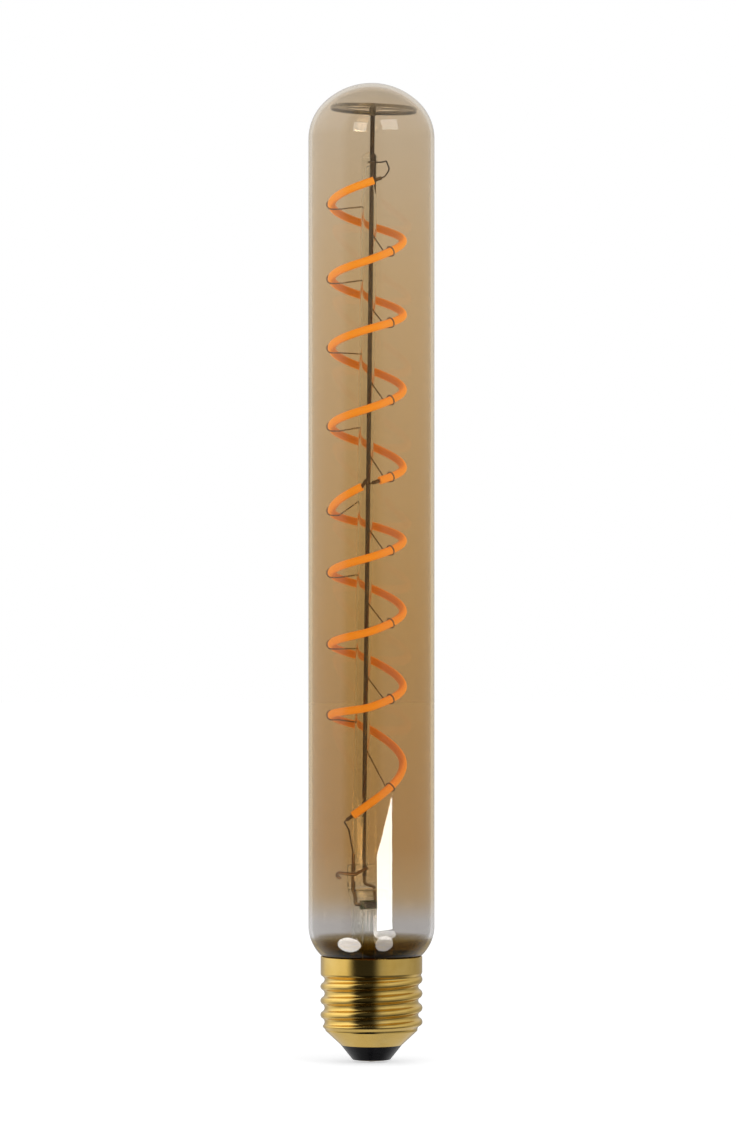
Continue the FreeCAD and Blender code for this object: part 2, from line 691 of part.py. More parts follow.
def coil_knots():
    """Angles and heights that the spiral passes, from its top end to its bottom end."""
    knots = [(turn_angle(0, size["start_azimuth"]), size["first_root"] + size["start_rise"])]
    for turn, rises in enumerate(RISES):
        for quarter, rise in enumerate(rises):
            even = size["first_root"] - COIL_PITCH * (turn + quarter / 4)
            knots.append((turn_angle(turn, -180 - 90 * quarter), even + rise))
    even = knots[-1][1] + COIL_PITCH * size["end_azimuth"] / 360
    knots.append((turn_angle(TURNS, size["end_azimuth"]), even - size["end_drop"]))
    return knots


def coil_point(angle):
    """Centre line of the spiral at an angle."""
    for (first, high), (last, low) in zip(coil_knots(), coil_knots()[1:]):
        if last <= angle <= first:
            height = high + (low - high) * (first - angle) / (first - last)
            break
    azimuth = math.radians(angle)
    radius = size["coil_radius"]
    return Vector(size["coil_shift"] + radius * math.cos(azimuth), radius * math.sin(azimuth), height)


def hook_angles():
    """Angles at which the supports hold the spiral: left side, then front side, turn by turn."""
    angles = []
    for turn in range(TURNS):
        angles.append(turn_angle(turn, -180))
        angles.append(turn_angle(turn + 1, size["hook_azimuth"]))
    return angles


def filament_route(start, end):
    """Points of a filament from start to end, with a straight run across each support."""
    marks = [start] + [a for a in hook_angles() if end < a < start] + [end]
    points = [coil_point(start)]
    for first, last in zip(marks, marks[1:]):
        steps = max(1, round((first - last) / BEND_STEP))
        step = (first - last) / steps
        points += [coil_point(first - (i + 0.5) * step) for i in range(steps)]
    return points + [coil_point(end)]


def make_filaments():
    """Both filaments. Returns the edges that each follows."""
    joint = turn_angle(UPPER_TURNS, size["joint_azimuth"])
    spans = (
        ("filament_upper", turn_angle(0, size["start_azimuth"]), joint),
        ("filament_lower", joint - size["joint_gap"], turn_angle(TURNS, size["end_azimuth"])),
    )
    filaments = []
    for label, start, end in spans:
        edges = rounded(filament_route(start, end))
        piece(swept(label, edges, "filament_diameter"))
        filaments.append(edges)
    return filaments


def make_tab(label, edge, at_start, lift=0.0):
    """A flat metal tab on a filament's end face, in line with the strip or bent up by lift.
    Returns its free end and its direction."""
    parameter = edge.FirstParameter if at_start else edge.LastParameter
    foot, along = edge.valueAt(parameter), edge.tangentAt(parameter)
    if at_start:
        along = along * -1
    across = UP.cross(along).normalize()
    bent = (along + UP * lift).normalize()
    tip = foot + bent * size["tab_length"]
    half_width, half_sheet = size["tab_width"] / 2, size["tab_sheet"] / 2
    sections = []
    for point, way in ((foot, along), (tip, bent)):
        upright = way.cross(across).normalize()
        corners = [point + upright * (half_width * u) + across * (half_sheet * v)
                   for u, v in ((-1, -1), (1, -1), (1, 1), (-1, 1))]
        sections.append(Part.makePolygon(corners + corners[:1]))
    piece(shaped(label, Part.makeLoft(sections, True, True)))
    return tip, bent


def make_hook(label, angle, edges, root_height):
    """A support wire from the column that passes under the filament and curls round it."""
    path = Part.Wire(edges)
    target = Part.Vertex(coil_point(angle))
    centre = path.distToShape(target)[1][0][0]
    edge = min(path.Edges, key=lambda e: e.distToShape(Part.Vertex(centre))[0])
    along = edge.tangentAt(edge.Curve.parameter(centre))
    azimuth = math.radians(angle)
    outward = Vector(math.cos(azimuth), math.sin(azimuth), 0)
    outward = (outward - along * outward.dot(along)).normalize()
    upward = outward.cross(along)
    upward = (upward if upward.z > 0 else upward * -1).normalize()
    ring = size["filament_diameter"] / 2 + size["hook_clearance"] + size["hook_wire"] / 2

    def round_filament(degrees):
        turn = math.radians(degrees)
        return centre + outward * (ring * math.cos(turn)) + upward * (ring * math.sin(turn))

    below = round_filament(-90)
    approach = below - outward * size["hook_reach"]
    axis = column_axis(root_height)
    towards = Vector(approach.x - axis.x, approach.y - axis.y, 0).normalize()
    root = axis + towards * (size["column_diameter"] / 2 - size["root_depth"])
    edges = rounded([root, approach, below], size["hook_bend"])
    rest, end = size["hook_rest"], size["hook_end"]
    edges.append(Part.Arc(below, round_filament(0), round_filament(rest)).toShape())
    edges.append(Part.Arc(*(round_filament(at) for at in (rest, (rest + end) / 2, end))).toShape())
    return piece(swept(label, edges, "hook_wire"))


def make_hooks(filaments):
    hooks = []
    for turn in range(TURNS):
        root = size["first_root"] - COIL_PITCH * turn
        left, front = hook_angles()[2 * turn], hook_angles()[2 * turn + 1]
        edges = filaments[0 if turn < UPPER_TURNS else 1]
        hooks.append(make_hook(f"left_support_{turn + 1}", left, edges, root))
        hooks.append(make_hook(f"front_support_{turn + 1}", front, edges, root - size["front_root_drop"]))
    return hooks


WELD_DEPTH = 0.05


def make_links(filaments, rod):
    """Metal tabs on the filament ends, and the wires that join them up."""
    upper, lower = filaments
    top, top_way = make_tab("top_tab", upper[0], True)
    joint_upper, upper_way = make_tab("joint_tab_upper", upper[-1], False)
    joint_lower, lower_way = make_tab("joint_tab_lower", lower[0], True, size["joint_lift"])
    bottom, bottom_way = make_tab("bottom_tab", lower[-1], False)
    stub = size["link_stub"]

    # From the return wire in the column's head to the start of the upper filament. It lies against
    # the return wire, pressed in by the weld.
    height = size["column_top"] - size["link_drop"]
    across = (size["return_diameter"] + size["link_wire"]) / 2 - WELD_DEPTH
    beside = return_axis(height) - Vector(0, across, 0)
    top_link = wire("top_link", [
        beside + Vector(-1.0, 0, 0),
        beside + Vector(2.4, 0, 0),
        Vector(top.x + 1.2, top.y + 3.6, height),
        Vector(top.x + 2.0, top.y + 0.3, height - 2.4),
        top + top_way * stub,
        top,
    ], "link_wire", 1.8, meets=(rod,))

    # Between the two filaments, on a support of its own
    run = (joint_upper + upper_way * stub, joint_lower + lower_way * stub)
    joint_link = wire("joint_link", [joint_upper, *run, joint_lower], "link_wire", 0.4)
    crossing = run[0] * 0.6 + run[1] * 0.4
    root = column_axis(crossing.z) - Vector(0, size["column_diameter"] / 2 - size["root_depth"], 0)
    joint_support = wire("joint_support", [
        root,
        root - Vector(0, size["joint_reach"], 0),
        crossing,
    ], "hook_wire", 1.0, meets=(joint_link,))

    # From the end of the lower filament down to the lead in the press
    feed_top = in_press(size["feed_along"], size["feed_across"], size["feed_top"])
    bottom_link = wire("bottom_link", [
        bottom,
        bottom + bottom_way * stub,
        bottom + Vector(0.5, 2.6, -2.6),
        feed_top + Vector(-0.5, -0.6, 2.4),
        feed_top - Vector(0, 0, size["lead_lap"]),
    ], "link_wire", 1.2)
    return top_link, joint_support, bottom_link


def make_leads(board, bottom_link):
    """Leads from the small board up through the press, and the stay on the press."""
    along, across = size["feed_along"], size["feed_across"]
    board_top, board_bottom = size["chip_board_top"], size["chip_board_bottom"]
    press_top = size["press_top"]
    edge = size["chip_board_width"] / 2 - size["lead_inset"]
    left, right = size["chip_board_along"] - edge, size["chip_board_along"] + edge
    middle = size["board_across"]
    lap = board_top - size["lead_lap"]
    feed_lead = wire("feed_lead", [
        in_press(along, across, size["feed_top"]),
        in_press(along, across, size["press_full"] - 1.5),
        in_press(left - 1.9, middle, board_top + 0.8),
        in_press(left - 1.7, middle, board_bottom + 1.1),
        in_press(left, middle, board_bottom + 1.4),
    ], "lead_wire", 0.8, meets=(board, bottom_link))
    foot = press_top - size["return_depth"]
    return_lead = wire("return_lead", [
        return_axis(foot),
        return_axis(foot - 2.2),
        in_press(right - 0.5, middle, size["cavity_top"] + 0.6),
        in_press(right, middle, lap),
    ], "lead_wire", 1.2, meets=(board,))
    stay = wire("press_stay", [
        in_press(-0.8, -1.2, press_top - 1.1),
        in_press(-1.3, -2.6, press_top - 0.8),
        in_press(-4.4, -2.6, press_top - 2.5),
        in_press(-8.9, -2.5, press_top - 1.9),
        in_press(-9.3, -2.5, press_top - 2.7),
        in_press(-8.3, -2.5, press_top - 3.4),
    ], "stay_wire", 0.8)
    return feed_lead, return_lead, stay


# Driver: a board with its components in the cap, and a small board with a chip in the stem tube
def on_board(label, kind, **formulas):
    """A component placed in the press frame by its corner or axis: along, across and height."""
    obj = doc.addObject(kind, label)
    along, across, height = formulas.pop("along"), formulas.pop("across"), formulas.pop("height")
    bind(obj, **formulas)
    obj.Placement.Rotation = FreeCAD.Rotation(UP, size["press_turn"])
    bind(obj,
         Base_x=f"press_offset + ({along}) * cos(press_turn * 1deg) - ({across}) * sin(press_turn * 1deg)",
         Base_y=f"({along}) * sin(press_turn * 1deg) + ({across}) * cos(press_turn * 1deg)",
         Base_z=height)
    return piece(obj)


def make_driver(cap):
    """Both boards with what they carry, and the wires down to the cap. Returns the small board."""
    back, front = "(board_across + board_sheet / 2)", "(board_across - board_sheet / 2)"
    boards = [
        on_board(label, "Part::Box", Length=f"{name}_width", Width="board_sheet",
                 Height=f"{name}_top - {name}_bottom", along=f"{name}_along - {name}_width / 2",
                 across=front, height=f"{name}_bottom")
        for label, name in (("chip_board", "chip_board"), ("driver_board", "board"))
    ]
    for label, name, middle, base in (
        ("driver_chip", "chip", "chip_board_along", "chip_board_top - chip_drop"),
        ("bridge_rectifier", "bridge", "(board_along + bridge_along)", "board_bottom + bridge_stand"),
    ):
        on_board(label, "Part::Box", Length=f"{name}_width", Width=f"{name}_thickness",
                 Height=f"{name}_height", along=f"{middle} - {name}_width / 2",
                 across=f"{front} - {name}_thickness", height=base)
    on_board("smoothing_capacitor", "Part::Cylinder", Radius="capacitor_diameter / 2",
             Height="capacitor_height", along="board_along + capacitor_along",
             across=f"{front} - capacitor_diameter / 2", height="board_bottom")
    on_board("fuse_resistor", "Part::Cylinder", Radius="resistor_diameter / 2",
             Height="resistor_height", along="board_along + resistor_along",
             across=f"{back} + resistor_diameter / 2", height="board_bottom + resistor_stand")
    lap, across = size["lead_lap"], size["board_across"]
    for label, side in (("board_wire_left", -0.5), ("board_wire_right", 0.5)):
        along = size["chip_board_along"] + side * size["board_wire_spread"]
        ends = size["chip_board_bottom"] + lap, size["board_top"] - lap
        wire(label, [in_press(along, across, end) for end in ends], "driver_wire", meets=boards)
    turn, height = size["shell_wire_turn"], size["shell_wire_height"]
    wall = cap_outside(turn, height) - size["cap_sheet"] / 2
    azimuth = 2 * math.pi * turn
    outward = Vector(math.cos(azimuth), math.sin(azimuth), 0)
    edge = size["board_along"] - size["board_width"] / 2
    start = size["board_bottom"] + 1.2
    wire("shell_wire", [
        in_press(edge + lap, across, start),
        in_press(edge - 0.7, across, start),
        outward * (wall - 2.0) + UP * height,
        outward * wall + UP * height,
    ], "driver_wire", 1.2, meets=(boards[1], cap))
    return boards[0]


def main():
    make_envelope()
    cap = make_cap_shell()
    make_cap_fittings()
    rod = make_return_wire()
    make_plate(rod)
    filaments = make_filaments()
    hooks = make_hooks(filaments)
    top_link, joint_support, bottom_link = make_links(filaments, rod)
    column = make_column([rod, top_link, joint_support, *hooks])
    board = make_driver(cap)
    leads = make_leads(board, bottom_link)
    make_stem([rod, column, *leads])
    doc.recompute()


def check():
    """Stops if an object failed or a piece is not one valid solid."""
    for obj in doc.Objects:
        if {"Invalid", "Error"} & set(obj.State):
            raise RuntimeError(f"{obj.Name} failed: {obj.State}")
    for obj in PARTS:
        shape = obj.Shape
        if shape.isNull() or not shape.isValid() or len(shape.Solids) != 1:
            raise RuntimeError(f"{obj.Label} is not one valid solid: {len(shape.Solids)} solids")


def export():
    """Writes one file for each piece, named by its label."""
    os.makedirs("parts", exist_ok=True)
    for obj in PARTS:
        obj.Shape.exportStep(os.path.join("parts", f"{obj.Label}.step"))
        print(f"{obj.Label}: {obj.Shape.Volume:.2f} mm3")


main()
check()
export()
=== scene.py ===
# %% [markdown]
# # A tubular lamp with a spiral filament
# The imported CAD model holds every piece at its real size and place. This lesson gives the pieces their
# looks: smooth glass that bends light, a rolled brass thread, a glowing coated filament, and thin wires.
# The frame is loaded first, because everything else is placed from it.
# %% Load the frame
import math

import bpy
from mathutils import Matrix, Vector


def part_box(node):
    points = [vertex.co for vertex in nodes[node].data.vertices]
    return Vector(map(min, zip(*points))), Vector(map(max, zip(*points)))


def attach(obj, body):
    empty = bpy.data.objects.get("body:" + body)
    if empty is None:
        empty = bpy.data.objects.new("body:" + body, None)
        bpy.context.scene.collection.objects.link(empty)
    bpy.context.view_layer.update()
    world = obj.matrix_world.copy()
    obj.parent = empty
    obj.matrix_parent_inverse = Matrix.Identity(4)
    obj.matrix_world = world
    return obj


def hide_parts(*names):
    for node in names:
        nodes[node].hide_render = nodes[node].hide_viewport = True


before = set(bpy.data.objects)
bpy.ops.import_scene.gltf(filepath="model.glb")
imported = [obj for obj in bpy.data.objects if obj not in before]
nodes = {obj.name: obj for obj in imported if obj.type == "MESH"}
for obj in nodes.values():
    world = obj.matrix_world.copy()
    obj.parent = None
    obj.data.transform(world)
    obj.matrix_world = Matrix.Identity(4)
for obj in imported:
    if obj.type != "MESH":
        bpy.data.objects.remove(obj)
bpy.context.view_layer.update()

# %% [markdown]
# ## Measures and small helpers
# Blender works in metres and the lamp is measured in millimetres, so one factor turns one into the other.
# Sizes come from the boxes of the CAD nodes where they can, so that the looks follow the model.
# %% Measures of the lamp, in millimetres
MM = 0.001


def node_box(name):
    """Lowest and highest corner of a CAD node, in millimetres."""
    low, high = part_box(name)
    return low / MM, high / MM


envelope_low, envelope_high = node_box("glass_envelope")
TUBE_RADIUS = envelope_high.x
LAMP_TOP = envelope_high.z
NECK_END = envelope_low.z
WALL = 0.9
print("tube radius", round(TUBE_RADIUS, 2), "lamp top", round(LAMP_TOP, 2))


# %% Helpers for modelling with operators
def deselect_all():
    if bpy.context.object and bpy.context.object.mode != "OBJECT":
        bpy.ops.object.mode_set(mode="OBJECT")
    bpy.ops.object.select_all(action="DESELECT")


def arc(centre, radius, start, end, steps):
    """Points of an arc in the plane of radius and height, from one angle to another in degrees."""
    points = []
    for i in range(steps + 1):
        angle = math.radians(start + (end - start) * i / steps)
        points.append((centre[0] + radius * math.cos(angle), centre[1] + radius * math.sin(angle)))
    return points


def line(start, end, steps):
    """Points of a straight run after its start."""
    return [
        (start[0] + (end[0] - start[0]) * i / steps, start[1] + (end[1] - start[1]) * i / steps)
        for i in range(1, steps + 1)
    ]


def lathe(name, outline, steps):
    """Turns an outline of radii and heights, in millimetres, round the lamp's axis, as on a lathe."""
    deselect_all()
    bpy.ops.mesh.primitive_plane_add(size=MM)
    piece = bpy.context.object
    piece.name = piece.data.name = name
    bpy.ops.object.mode_set(mode="EDIT")
    bpy.ops.mesh.select_mode(type="VERT")
    bpy.ops.mesh.select_all(action="SELECT")
    bpy.ops.mesh.merge(type="CENTER")
    here = Vector((0, 0, 0))
    for index, (radius, height) in enumerate(outline):
        there = Vector((radius * MM, 0, height * MM))
        if index == 0:
            bpy.ops.transform.translate(value=there)
        else:
            bpy.ops.mesh.extrude_region_move(TRANSFORM_OT_translate={"value": there - here})
        here = there
    bpy.ops.mesh.select_all(action="SELECT")
    bpy.ops.mesh.spin(steps=steps, angle=math.tau, center=(0, 0, 0), axis=(0, 0, 1))
    bpy.ops.mesh.select_all(action="SELECT")
    bpy.ops.mesh.remove_doubles(threshold=0.002 * MM)
    bpy.ops.mesh.delete_loose(use_verts=True, use_edges=True, use_faces=False)
    bpy.ops.mesh.select_all(action="SELECT")
    bpy.ops.mesh.normals_make_consistent(inside=False)
    bpy.ops.object.mode_set(mode="OBJECT")
    bpy.ops.object.shade_smooth_by_angle(angle=math.radians(35))
    print(name, "faces", len(piece.data.polygons))
    return piece


def reshape(piece, move):
    """Moves every vertex of a piece, in millimetres, as a rolling or pressing tool would."""
    for vertex in piece.data.vertices:
        vertex.co = Vector(move(*(vertex.co / MM))) * MM
    piece.data.update()
    return piece


def tube(name, points, radius):
    """A smooth round wire through control points in millimetres, made from a curve."""
    deselect_all()
    bpy.ops.curve.primitive_nurbs_path_add()
    wire = bpy.context.object
    wire.name = wire.data.name = name
    spline = wire.data.splines[0]
    spline.points.add(len(points) - len(spline.points))
    for point, place in zip(spline.points, points):
        point.co = (*(Vector(place) * MM), 1)
    spline.order_u = 3
    spline.use_endpoint_u = True
    spline.resolution_u = 8
    wire.data.bevel_depth = radius * MM
    wire.data.bevel_resolution = 6
    wire.data.use_fill_caps = True
    bpy.ops.object.convert(target="MESH")
    bpy.ops.object.mode_set(mode="EDIT")
    bpy.ops.mesh.select_all(action="SELECT")
    bpy.ops.mesh.remove_doubles(threshold=0.002 * MM)
    bpy.ops.mesh.normals_make_consistent(inside=False)
    bpy.ops.object.mode_set(mode="OBJECT")
    bpy.ops.object.shade_smooth_by_angle(angle=math.radians(50))
    return bpy.context.object


def stands_for(piece, node):
    """The piece replaces a CAD node: it hangs from the root body, and the node is hidden."""
    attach(piece, "root")
    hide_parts(node)
    return piece


# %% [markdown]
# ## Materials
# Each finish is a short graph of nodes on the Principled shader. Patterns read Object coordinates, which
# are the lamp's own metres here, because every mesh sits at the origin.
# %% Helpers for materials
def new_material(name):
    material = bpy.data.materials.new(name)
    material.use_nodes = True
    return material, material.node_tree, material.node_tree.nodes["Principled BSDF"]


def add(tree, kind, **values):
    """Adds a node and sets its plain properties."""
    node = tree.nodes.new(kind)
    for name, value in values.items():
        setattr(node, name, value)
    return node


def grain(tree, scale, detail=4.0, stretch=(1, 1, 1)):
    """Noise in the lamp's own coordinates, with a scale in features for each metre."""
    coordinates = add(tree, "ShaderNodeTexCoord")
    mapping = add(tree, "ShaderNodeMapping")
    mapping.inputs["Scale"].default_value = stretch
    noise = add(tree, "ShaderNodeTexNoise")
    noise.inputs["Scale"].default_value = scale
    noise.inputs["Detail"].default_value = detail
    tree.links.new(coordinates.outputs["Object"], mapping.inputs["Vector"])
    tree.links.new(mapping.outputs["Vector"], noise.inputs["Vector"])
    return noise.outputs["Fac"]


def ramp(tree, source, stops):
    """Colours or greys along a value from 0 to 1."""
    node = add(tree, "ShaderNodeValToRGB")
    band = node.color_ramp
    while len(band.elements) < len(stops):
        band.elements.new(0.5)
    for element, (place, colour) in zip(band.elements, stops):
        element.position = place
        element.color = (*colour, 1)
    tree.links.new(source, node.inputs["Fac"])
    return node.outputs["Color"]


def bump(tree, shader, source, distance):
    """Raises the surface by a pattern, up to a distance in millimetres."""
    node = add(tree, "ShaderNodeBump")
    node.inputs["Distance"].default_value = distance * MM
    node.inputs["Strength"].default_value = 1.0
    tree.links.new(source, node.inputs["Height"])
    tree.links.new(node.outputs["Normal"], shader.inputs["Normal"])


def height_share(tree, low, high):
    """0 at one height of the lamp and 1 at another, in millimetres."""
    coordinates = add(tree, "ShaderNodeTexCoord")
    split = add(tree, "ShaderNodeSeparateXYZ")
    share = add(tree, "ShaderNodeMapRange")
    share.inputs["From Min"].default_value = low * MM
    share.inputs["From Max"].default_value = high * MM
    tree.links.new(coordinates.outputs["Object"], split.inputs["Vector"])
    tree.links.new(split.outputs["Z"], share.inputs["Value"])
    return share.outputs["Result"]


def dress(names, material):
    """Gives CAD nodes or pieces one material."""
    for name in names:
        mesh = bpy.data.objects[name].data
        mesh.materials.clear()
        mesh.materials.append(material)


# %% [markdown]
# ## Glass
# Real glass is one closed shell with an outside and an inside, and light bends at both. The envelope has
# a thin amber coat, pale and grey at the dome, deeper towards the cap, and gone just above the cap.
# On the shoulder the coat colour holds a painted reflection: dark olive brown, as the bend mirrors the dark
# inside of the cap.
# Lamps light the inside through a shadow path that lets tinted light through, which keeps noise low.
# %% Glass materials
def glass_material(name, colour, colour_source=None):
    """Smooth clear glass of one colour, or of a colour that changes over the piece."""
    material, tree, shader = new_material(name)
    shader.inputs["Transmission Weight"].default_value = 1.0
    shader.inputs["Roughness"].default_value = 0.0
    shader.inputs["IOR"].default_value = 1.5
    shader.inputs["Base Color"].default_value = (*colour, 1)
    path = add(tree, "ShaderNodeLightPath")
    clear = add(tree, "ShaderNodeBsdfTransparent")
    clear.inputs["Color"].default_value = (*colour, 1)
    choice = add(tree, "ShaderNodeMixShader")
    if colour_source:
        source = colour_source(tree)
        tree.links.new(source, shader.inputs["Base Color"])
        tree.links.new(source, clear.inputs["Color"])
    output = tree.nodes["Material Output"]
    tree.links.new(path.outputs["Is Shadow Ray"], choice.inputs["Fac"])
    tree.links.new(shader.outputs["BSDF"], choice.inputs[1])
    tree.links.new(clear.outputs["BSDF"], choice.inputs[2])
    tree.links.new(choice.outputs["Shader"], output.inputs["Surface"])
    return material


AMBER_AND_PAINTED_REFLECTION_BY_HEIGHT = (
    # The two lowest stops are a painted reflection: the shoulder's dark olive brown stands in for the dark
    # inside of the cap mirrored in the bend.
    (0.00, (0.18, 0.11, 0.012)),
    (0.1245, (0.20, 0.125, 0.018)),
    (0.1270, (0.57, 0.555, 0.545)),
    (0.145, (0.575, 0.55, 0.53)),
    (0.17, (0.565, 0.455, 0.31)),
    (0.22, (0.555, 0.405, 0.225)),
    (0.45, (0.625, 0.465, 0.255)),
    (0.80, (0.69, 0.56, 0.385)),
    (1.00, (0.70, 0.625, 0.52)),
)


def amber_coat_and_painted_reflection(tree):
    return ramp(tree, height_share(tree, 0, LAMP_TOP), AMBER_AND_PAINTED_REFLECTION_BY_HEIGHT)


amber_glass = glass_material("amber_glass_with_painted_reflection", (0.8, 0.6, 0.4), amber_coat_and_painted_reflection)
clear_glass = glass_material("clear_lead_glass", (0.95, 0.96, 0.94))

# %% [markdown]
# ## The envelope
# The tube was drawn, its end blown to a flat dome, and its foot shrunk to a neck that hides in the cap.
# Its section is drawn once, outside and inside, and spun round the axis.
# %% Envelope
DOME_HEIGHT = 14.3
DOME_CORNER = 13.0
SHOULDER_START = 34.8
SHOULDER_RADIUS = 10.5
NECK_RADIUS = 11.2
SHOULDER_SUPPORT = 0.4
ROUND_STEPS = 192


def envelope_side(inset):
    """One surface of the shell, from the crown down to the end of the neck, moved in by inset."""
    over = TUBE_RADIUS - DOME_CORNER
    above = DOME_HEIGHT - DOME_CORNER
    drop = (over ** 2 - above ** 2) / (2 * above)
    crown = DOME_HEIGHT + drop - inset
    dome_start = LAMP_TOP - DOME_HEIGHT
    joint = math.degrees(math.atan2(drop, over))
    crown_part = arc((0, dome_start - drop), crown, 90, joint, 22)
    corner_part = arc((over, dome_start), DOME_CORNER - inset, joint, 0, 26)
    side = TUBE_RADIUS - inset
    straight = line((side, dome_start), (side, SHOULDER_START + SHOULDER_SUPPORT), 12)
    straight += [(side, SHOULDER_START)]
    pivot = TUBE_RADIUS - SHOULDER_RADIUS
    bend = SHOULDER_RADIUS - inset
    neck = NECK_RADIUS - inset
    end = -math.degrees(math.acos((neck - pivot) / bend))
    shoulder = arc((pivot, SHOULDER_START), bend, 0, end, 26)
    return crown_part + corner_part[1:] + straight + shoulder[1:] + [(neck, NECK_END)]


outline = envelope_side(0) + envelope_side(WALL)[::-1]
envelope = lathe("envelope_glass", outline, ROUND_STEPS)
stands_for(envelope, "glass_envelope")
dress(["envelope_glass"], amber_glass)

# %% [markdown]
# ## The stem
# The stem is a glass tube, flared at its foot and sealed to the neck, and squeezed flat round the wires
# at its top while it was soft. It is spun as a plain tube and then pressed by moving its vertices.
# %% Stem
STEM_RADIUS = 5.2
STEM_WALL = 0.7
FLARE_TOP = 32.0
FLARE_THROW = 9.9
FLARE_LIP = 0.9
PRESS_START, PRESS_FULL, PRESS_TOP = 38.0, 46.0, 50.5
PRESS_HALF, PRESS_EDGE = 5.6, 1.6
BORE_TOP, BORE_HALF, BORE_EDGE = 44.0, 4.6, 0.9
PRESS_TURN = math.radians(20)
PRESS_OFFSET = -0.9
BORE_RADIUS = STEM_RADIUS - STEM_WALL
flare_drop = FLARE_TOP - NECK_END
flare_widening = FLARE_THROW - STEM_RADIUS
FLARE_BEND = (flare_widening ** 2 + flare_drop ** 2) / (2 * flare_widening)
lip_bottom = NECK_END - FLARE_LIP


def flare(radius, low, high, steps):
    """The flared foot as radii and heights, from low to high."""
    centre = STEM_RADIUS + FLARE_BEND
    heights = [low + (high - low) * i / steps for i in range(steps + 1)]
    return [(centre - math.sqrt(radius ** 2 - (FLARE_TOP - z) ** 2), z) for z in heights]


stem_outline = [(NECK_RADIUS, lip_bottom), (NECK_RADIUS, NECK_END)]
stem_outline += flare(FLARE_BEND, NECK_END, FLARE_TOP, 14)
stem_outline += line((STEM_RADIUS, FLARE_TOP), (STEM_RADIUS, PRESS_TOP - 0.5), 20)
stem_outline += [(STEM_RADIUS * 0.97, PRESS_TOP - 0.2), (STEM_RADIUS * 0.9, PRESS_TOP), (0, PRESS_TOP)]
bore_outline = [(0, BORE_TOP), (BORE_RADIUS * 0.9, BORE_TOP), (BORE_RADIUS, BORE_TOP - 0.3)]
bore_outline += line((BORE_RADIUS, BORE_TOP - 0.3), (BORE_RADIUS, FLARE_TOP), 14)
bore_outline += flare(FLARE_BEND + STEM_WALL, FLARE_TOP, lip_bottom, 14)[1:]
bore_outline += [(NECK_RADIUS, lip_bottom)]


def slot_point(share, half, edge):
    """A point on a slot-shaped outline, at a share of the way round from its long end."""
    quarter, along = divmod(share * 4 + 0.5, 1)
    straight = half - edge
    turn = math.radians(-90 + 180 * along)
    if quarter % 4 == 0:
        return straight + edge * math.cos(turn), edge * math.sin(turn)
    if quarter % 4 == 1:
        return straight * (1 - 2 * along), edge
    if quarter % 4 == 2:
        return -straight - edge * math.cos(turn), -edge * math.sin(turn)
    return straight * (2 * along - 1), -edge


def press_flat(radius, half, edge):
    """The move that squeezes a round wall of that radius into a slot."""
    def move(x, y, z):
        share = min(1.0, max(0.0, (z - PRESS_START) / (PRESS_FULL - PRESS_START)))
        share = share * share * (3 - 2 * share)
        depth = math.hypot(x, y) / radius
        angle = (math.atan2(y, x) - PRESS_TURN) % math.tau
        along, across = slot_point(angle / math.tau, half, edge)
        cosine, sine = math.cos(PRESS_TURN), math.sin(PRESS_TURN)
        slot_x = PRESS_OFFSET + depth * (along * cosine - across * sine)
        slot_y = depth * (along * sine + across * cosine)
        return x + (slot_x - x) * share, y + (slot_y - y) * share, z
    return move


outer_wall = lathe("stem_clear", stem_outline, 96)
reshape(outer_wall, press_flat(STEM_RADIUS, PRESS_HALF, PRESS_EDGE))
inner_wall = lathe("stem_bore", bore_outline, 96)
reshape(inner_wall, press_flat(BORE_RADIUS, BORE_HALF, BORE_EDGE))
deselect_all()
inner_wall.select_set(True)
outer_wall.select_set(True)
bpy.context.view_layer.objects.active = outer_wall
bpy.ops.object.join()
bpy.ops.object.mode_set(mode="EDIT")
bpy.ops.mesh.select_all(action="SELECT")
bpy.ops.mesh.remove_doubles(threshold=0.002 * MM)
bpy.ops.mesh.normals_make_consistent(inside=False)
bpy.ops.object.mode_set(mode="OBJECT")
stem = bpy.context.object
bpy.ops.object.shade_smooth_by_angle(angle=math.radians(40))
stands_for(stem, "glass_stem")
dress(["stem_clear"], clear_glass)

# %% [markdown]
# ## The glass column
# A thin tube stands in the press, open below and melted to a round head. It leans a little, so it is
# spun upright and then sheared to its lean.
# %% Column
column_low, column_high = node_box("glass_column")
COLUMN_RADIUS = 2.0
COLUMN_BORE = 1.45
COLUMN_FOOT_X, COLUMN_HEAD_X = -2.85, -0.42
COLUMN_TOP = column_high.z
COLUMN_PLUG = 3.6
COLUMN_FOOT = column_low.z

head = arc((0, COLUMN_TOP - COLUMN_RADIUS), COLUMN_RADIUS, 0, 90, 8)
bore_head = arc((0, COLUMN_TOP - COLUMN_PLUG - COLUMN_BORE * 0.5), COLUMN_BORE * 0.5, 90, 0, 5)
column_outline = [(COLUMN_BORE, COLUMN_FOOT), (COLUMN_RADIUS, COLUMN_FOOT)]
column_outline += line((COLUMN_RADIUS, COLUMN_FOOT), (COLUMN_RADIUS, COLUMN_TOP - COLUMN_RADIUS), 20)[:-1]
column_outline += head + bore_head
column_outline += line((COLUMN_BORE, COLUMN_TOP - COLUMN_PLUG - 2.0), (COLUMN_BORE, COLUMN_FOOT), 20)


def lean(x, y, z):
    share = (z - PRESS_TOP) / (COLUMN_TOP - PRESS_TOP)
    return x + COLUMN_FOOT_X + share * (COLUMN_HEAD_X - COLUMN_FOOT_X), y, z


column = reshape(lathe("column_clear", column_outline, 48), lean)
stands_for(column, "glass_column")
dress(["column_clear"], clear_glass)

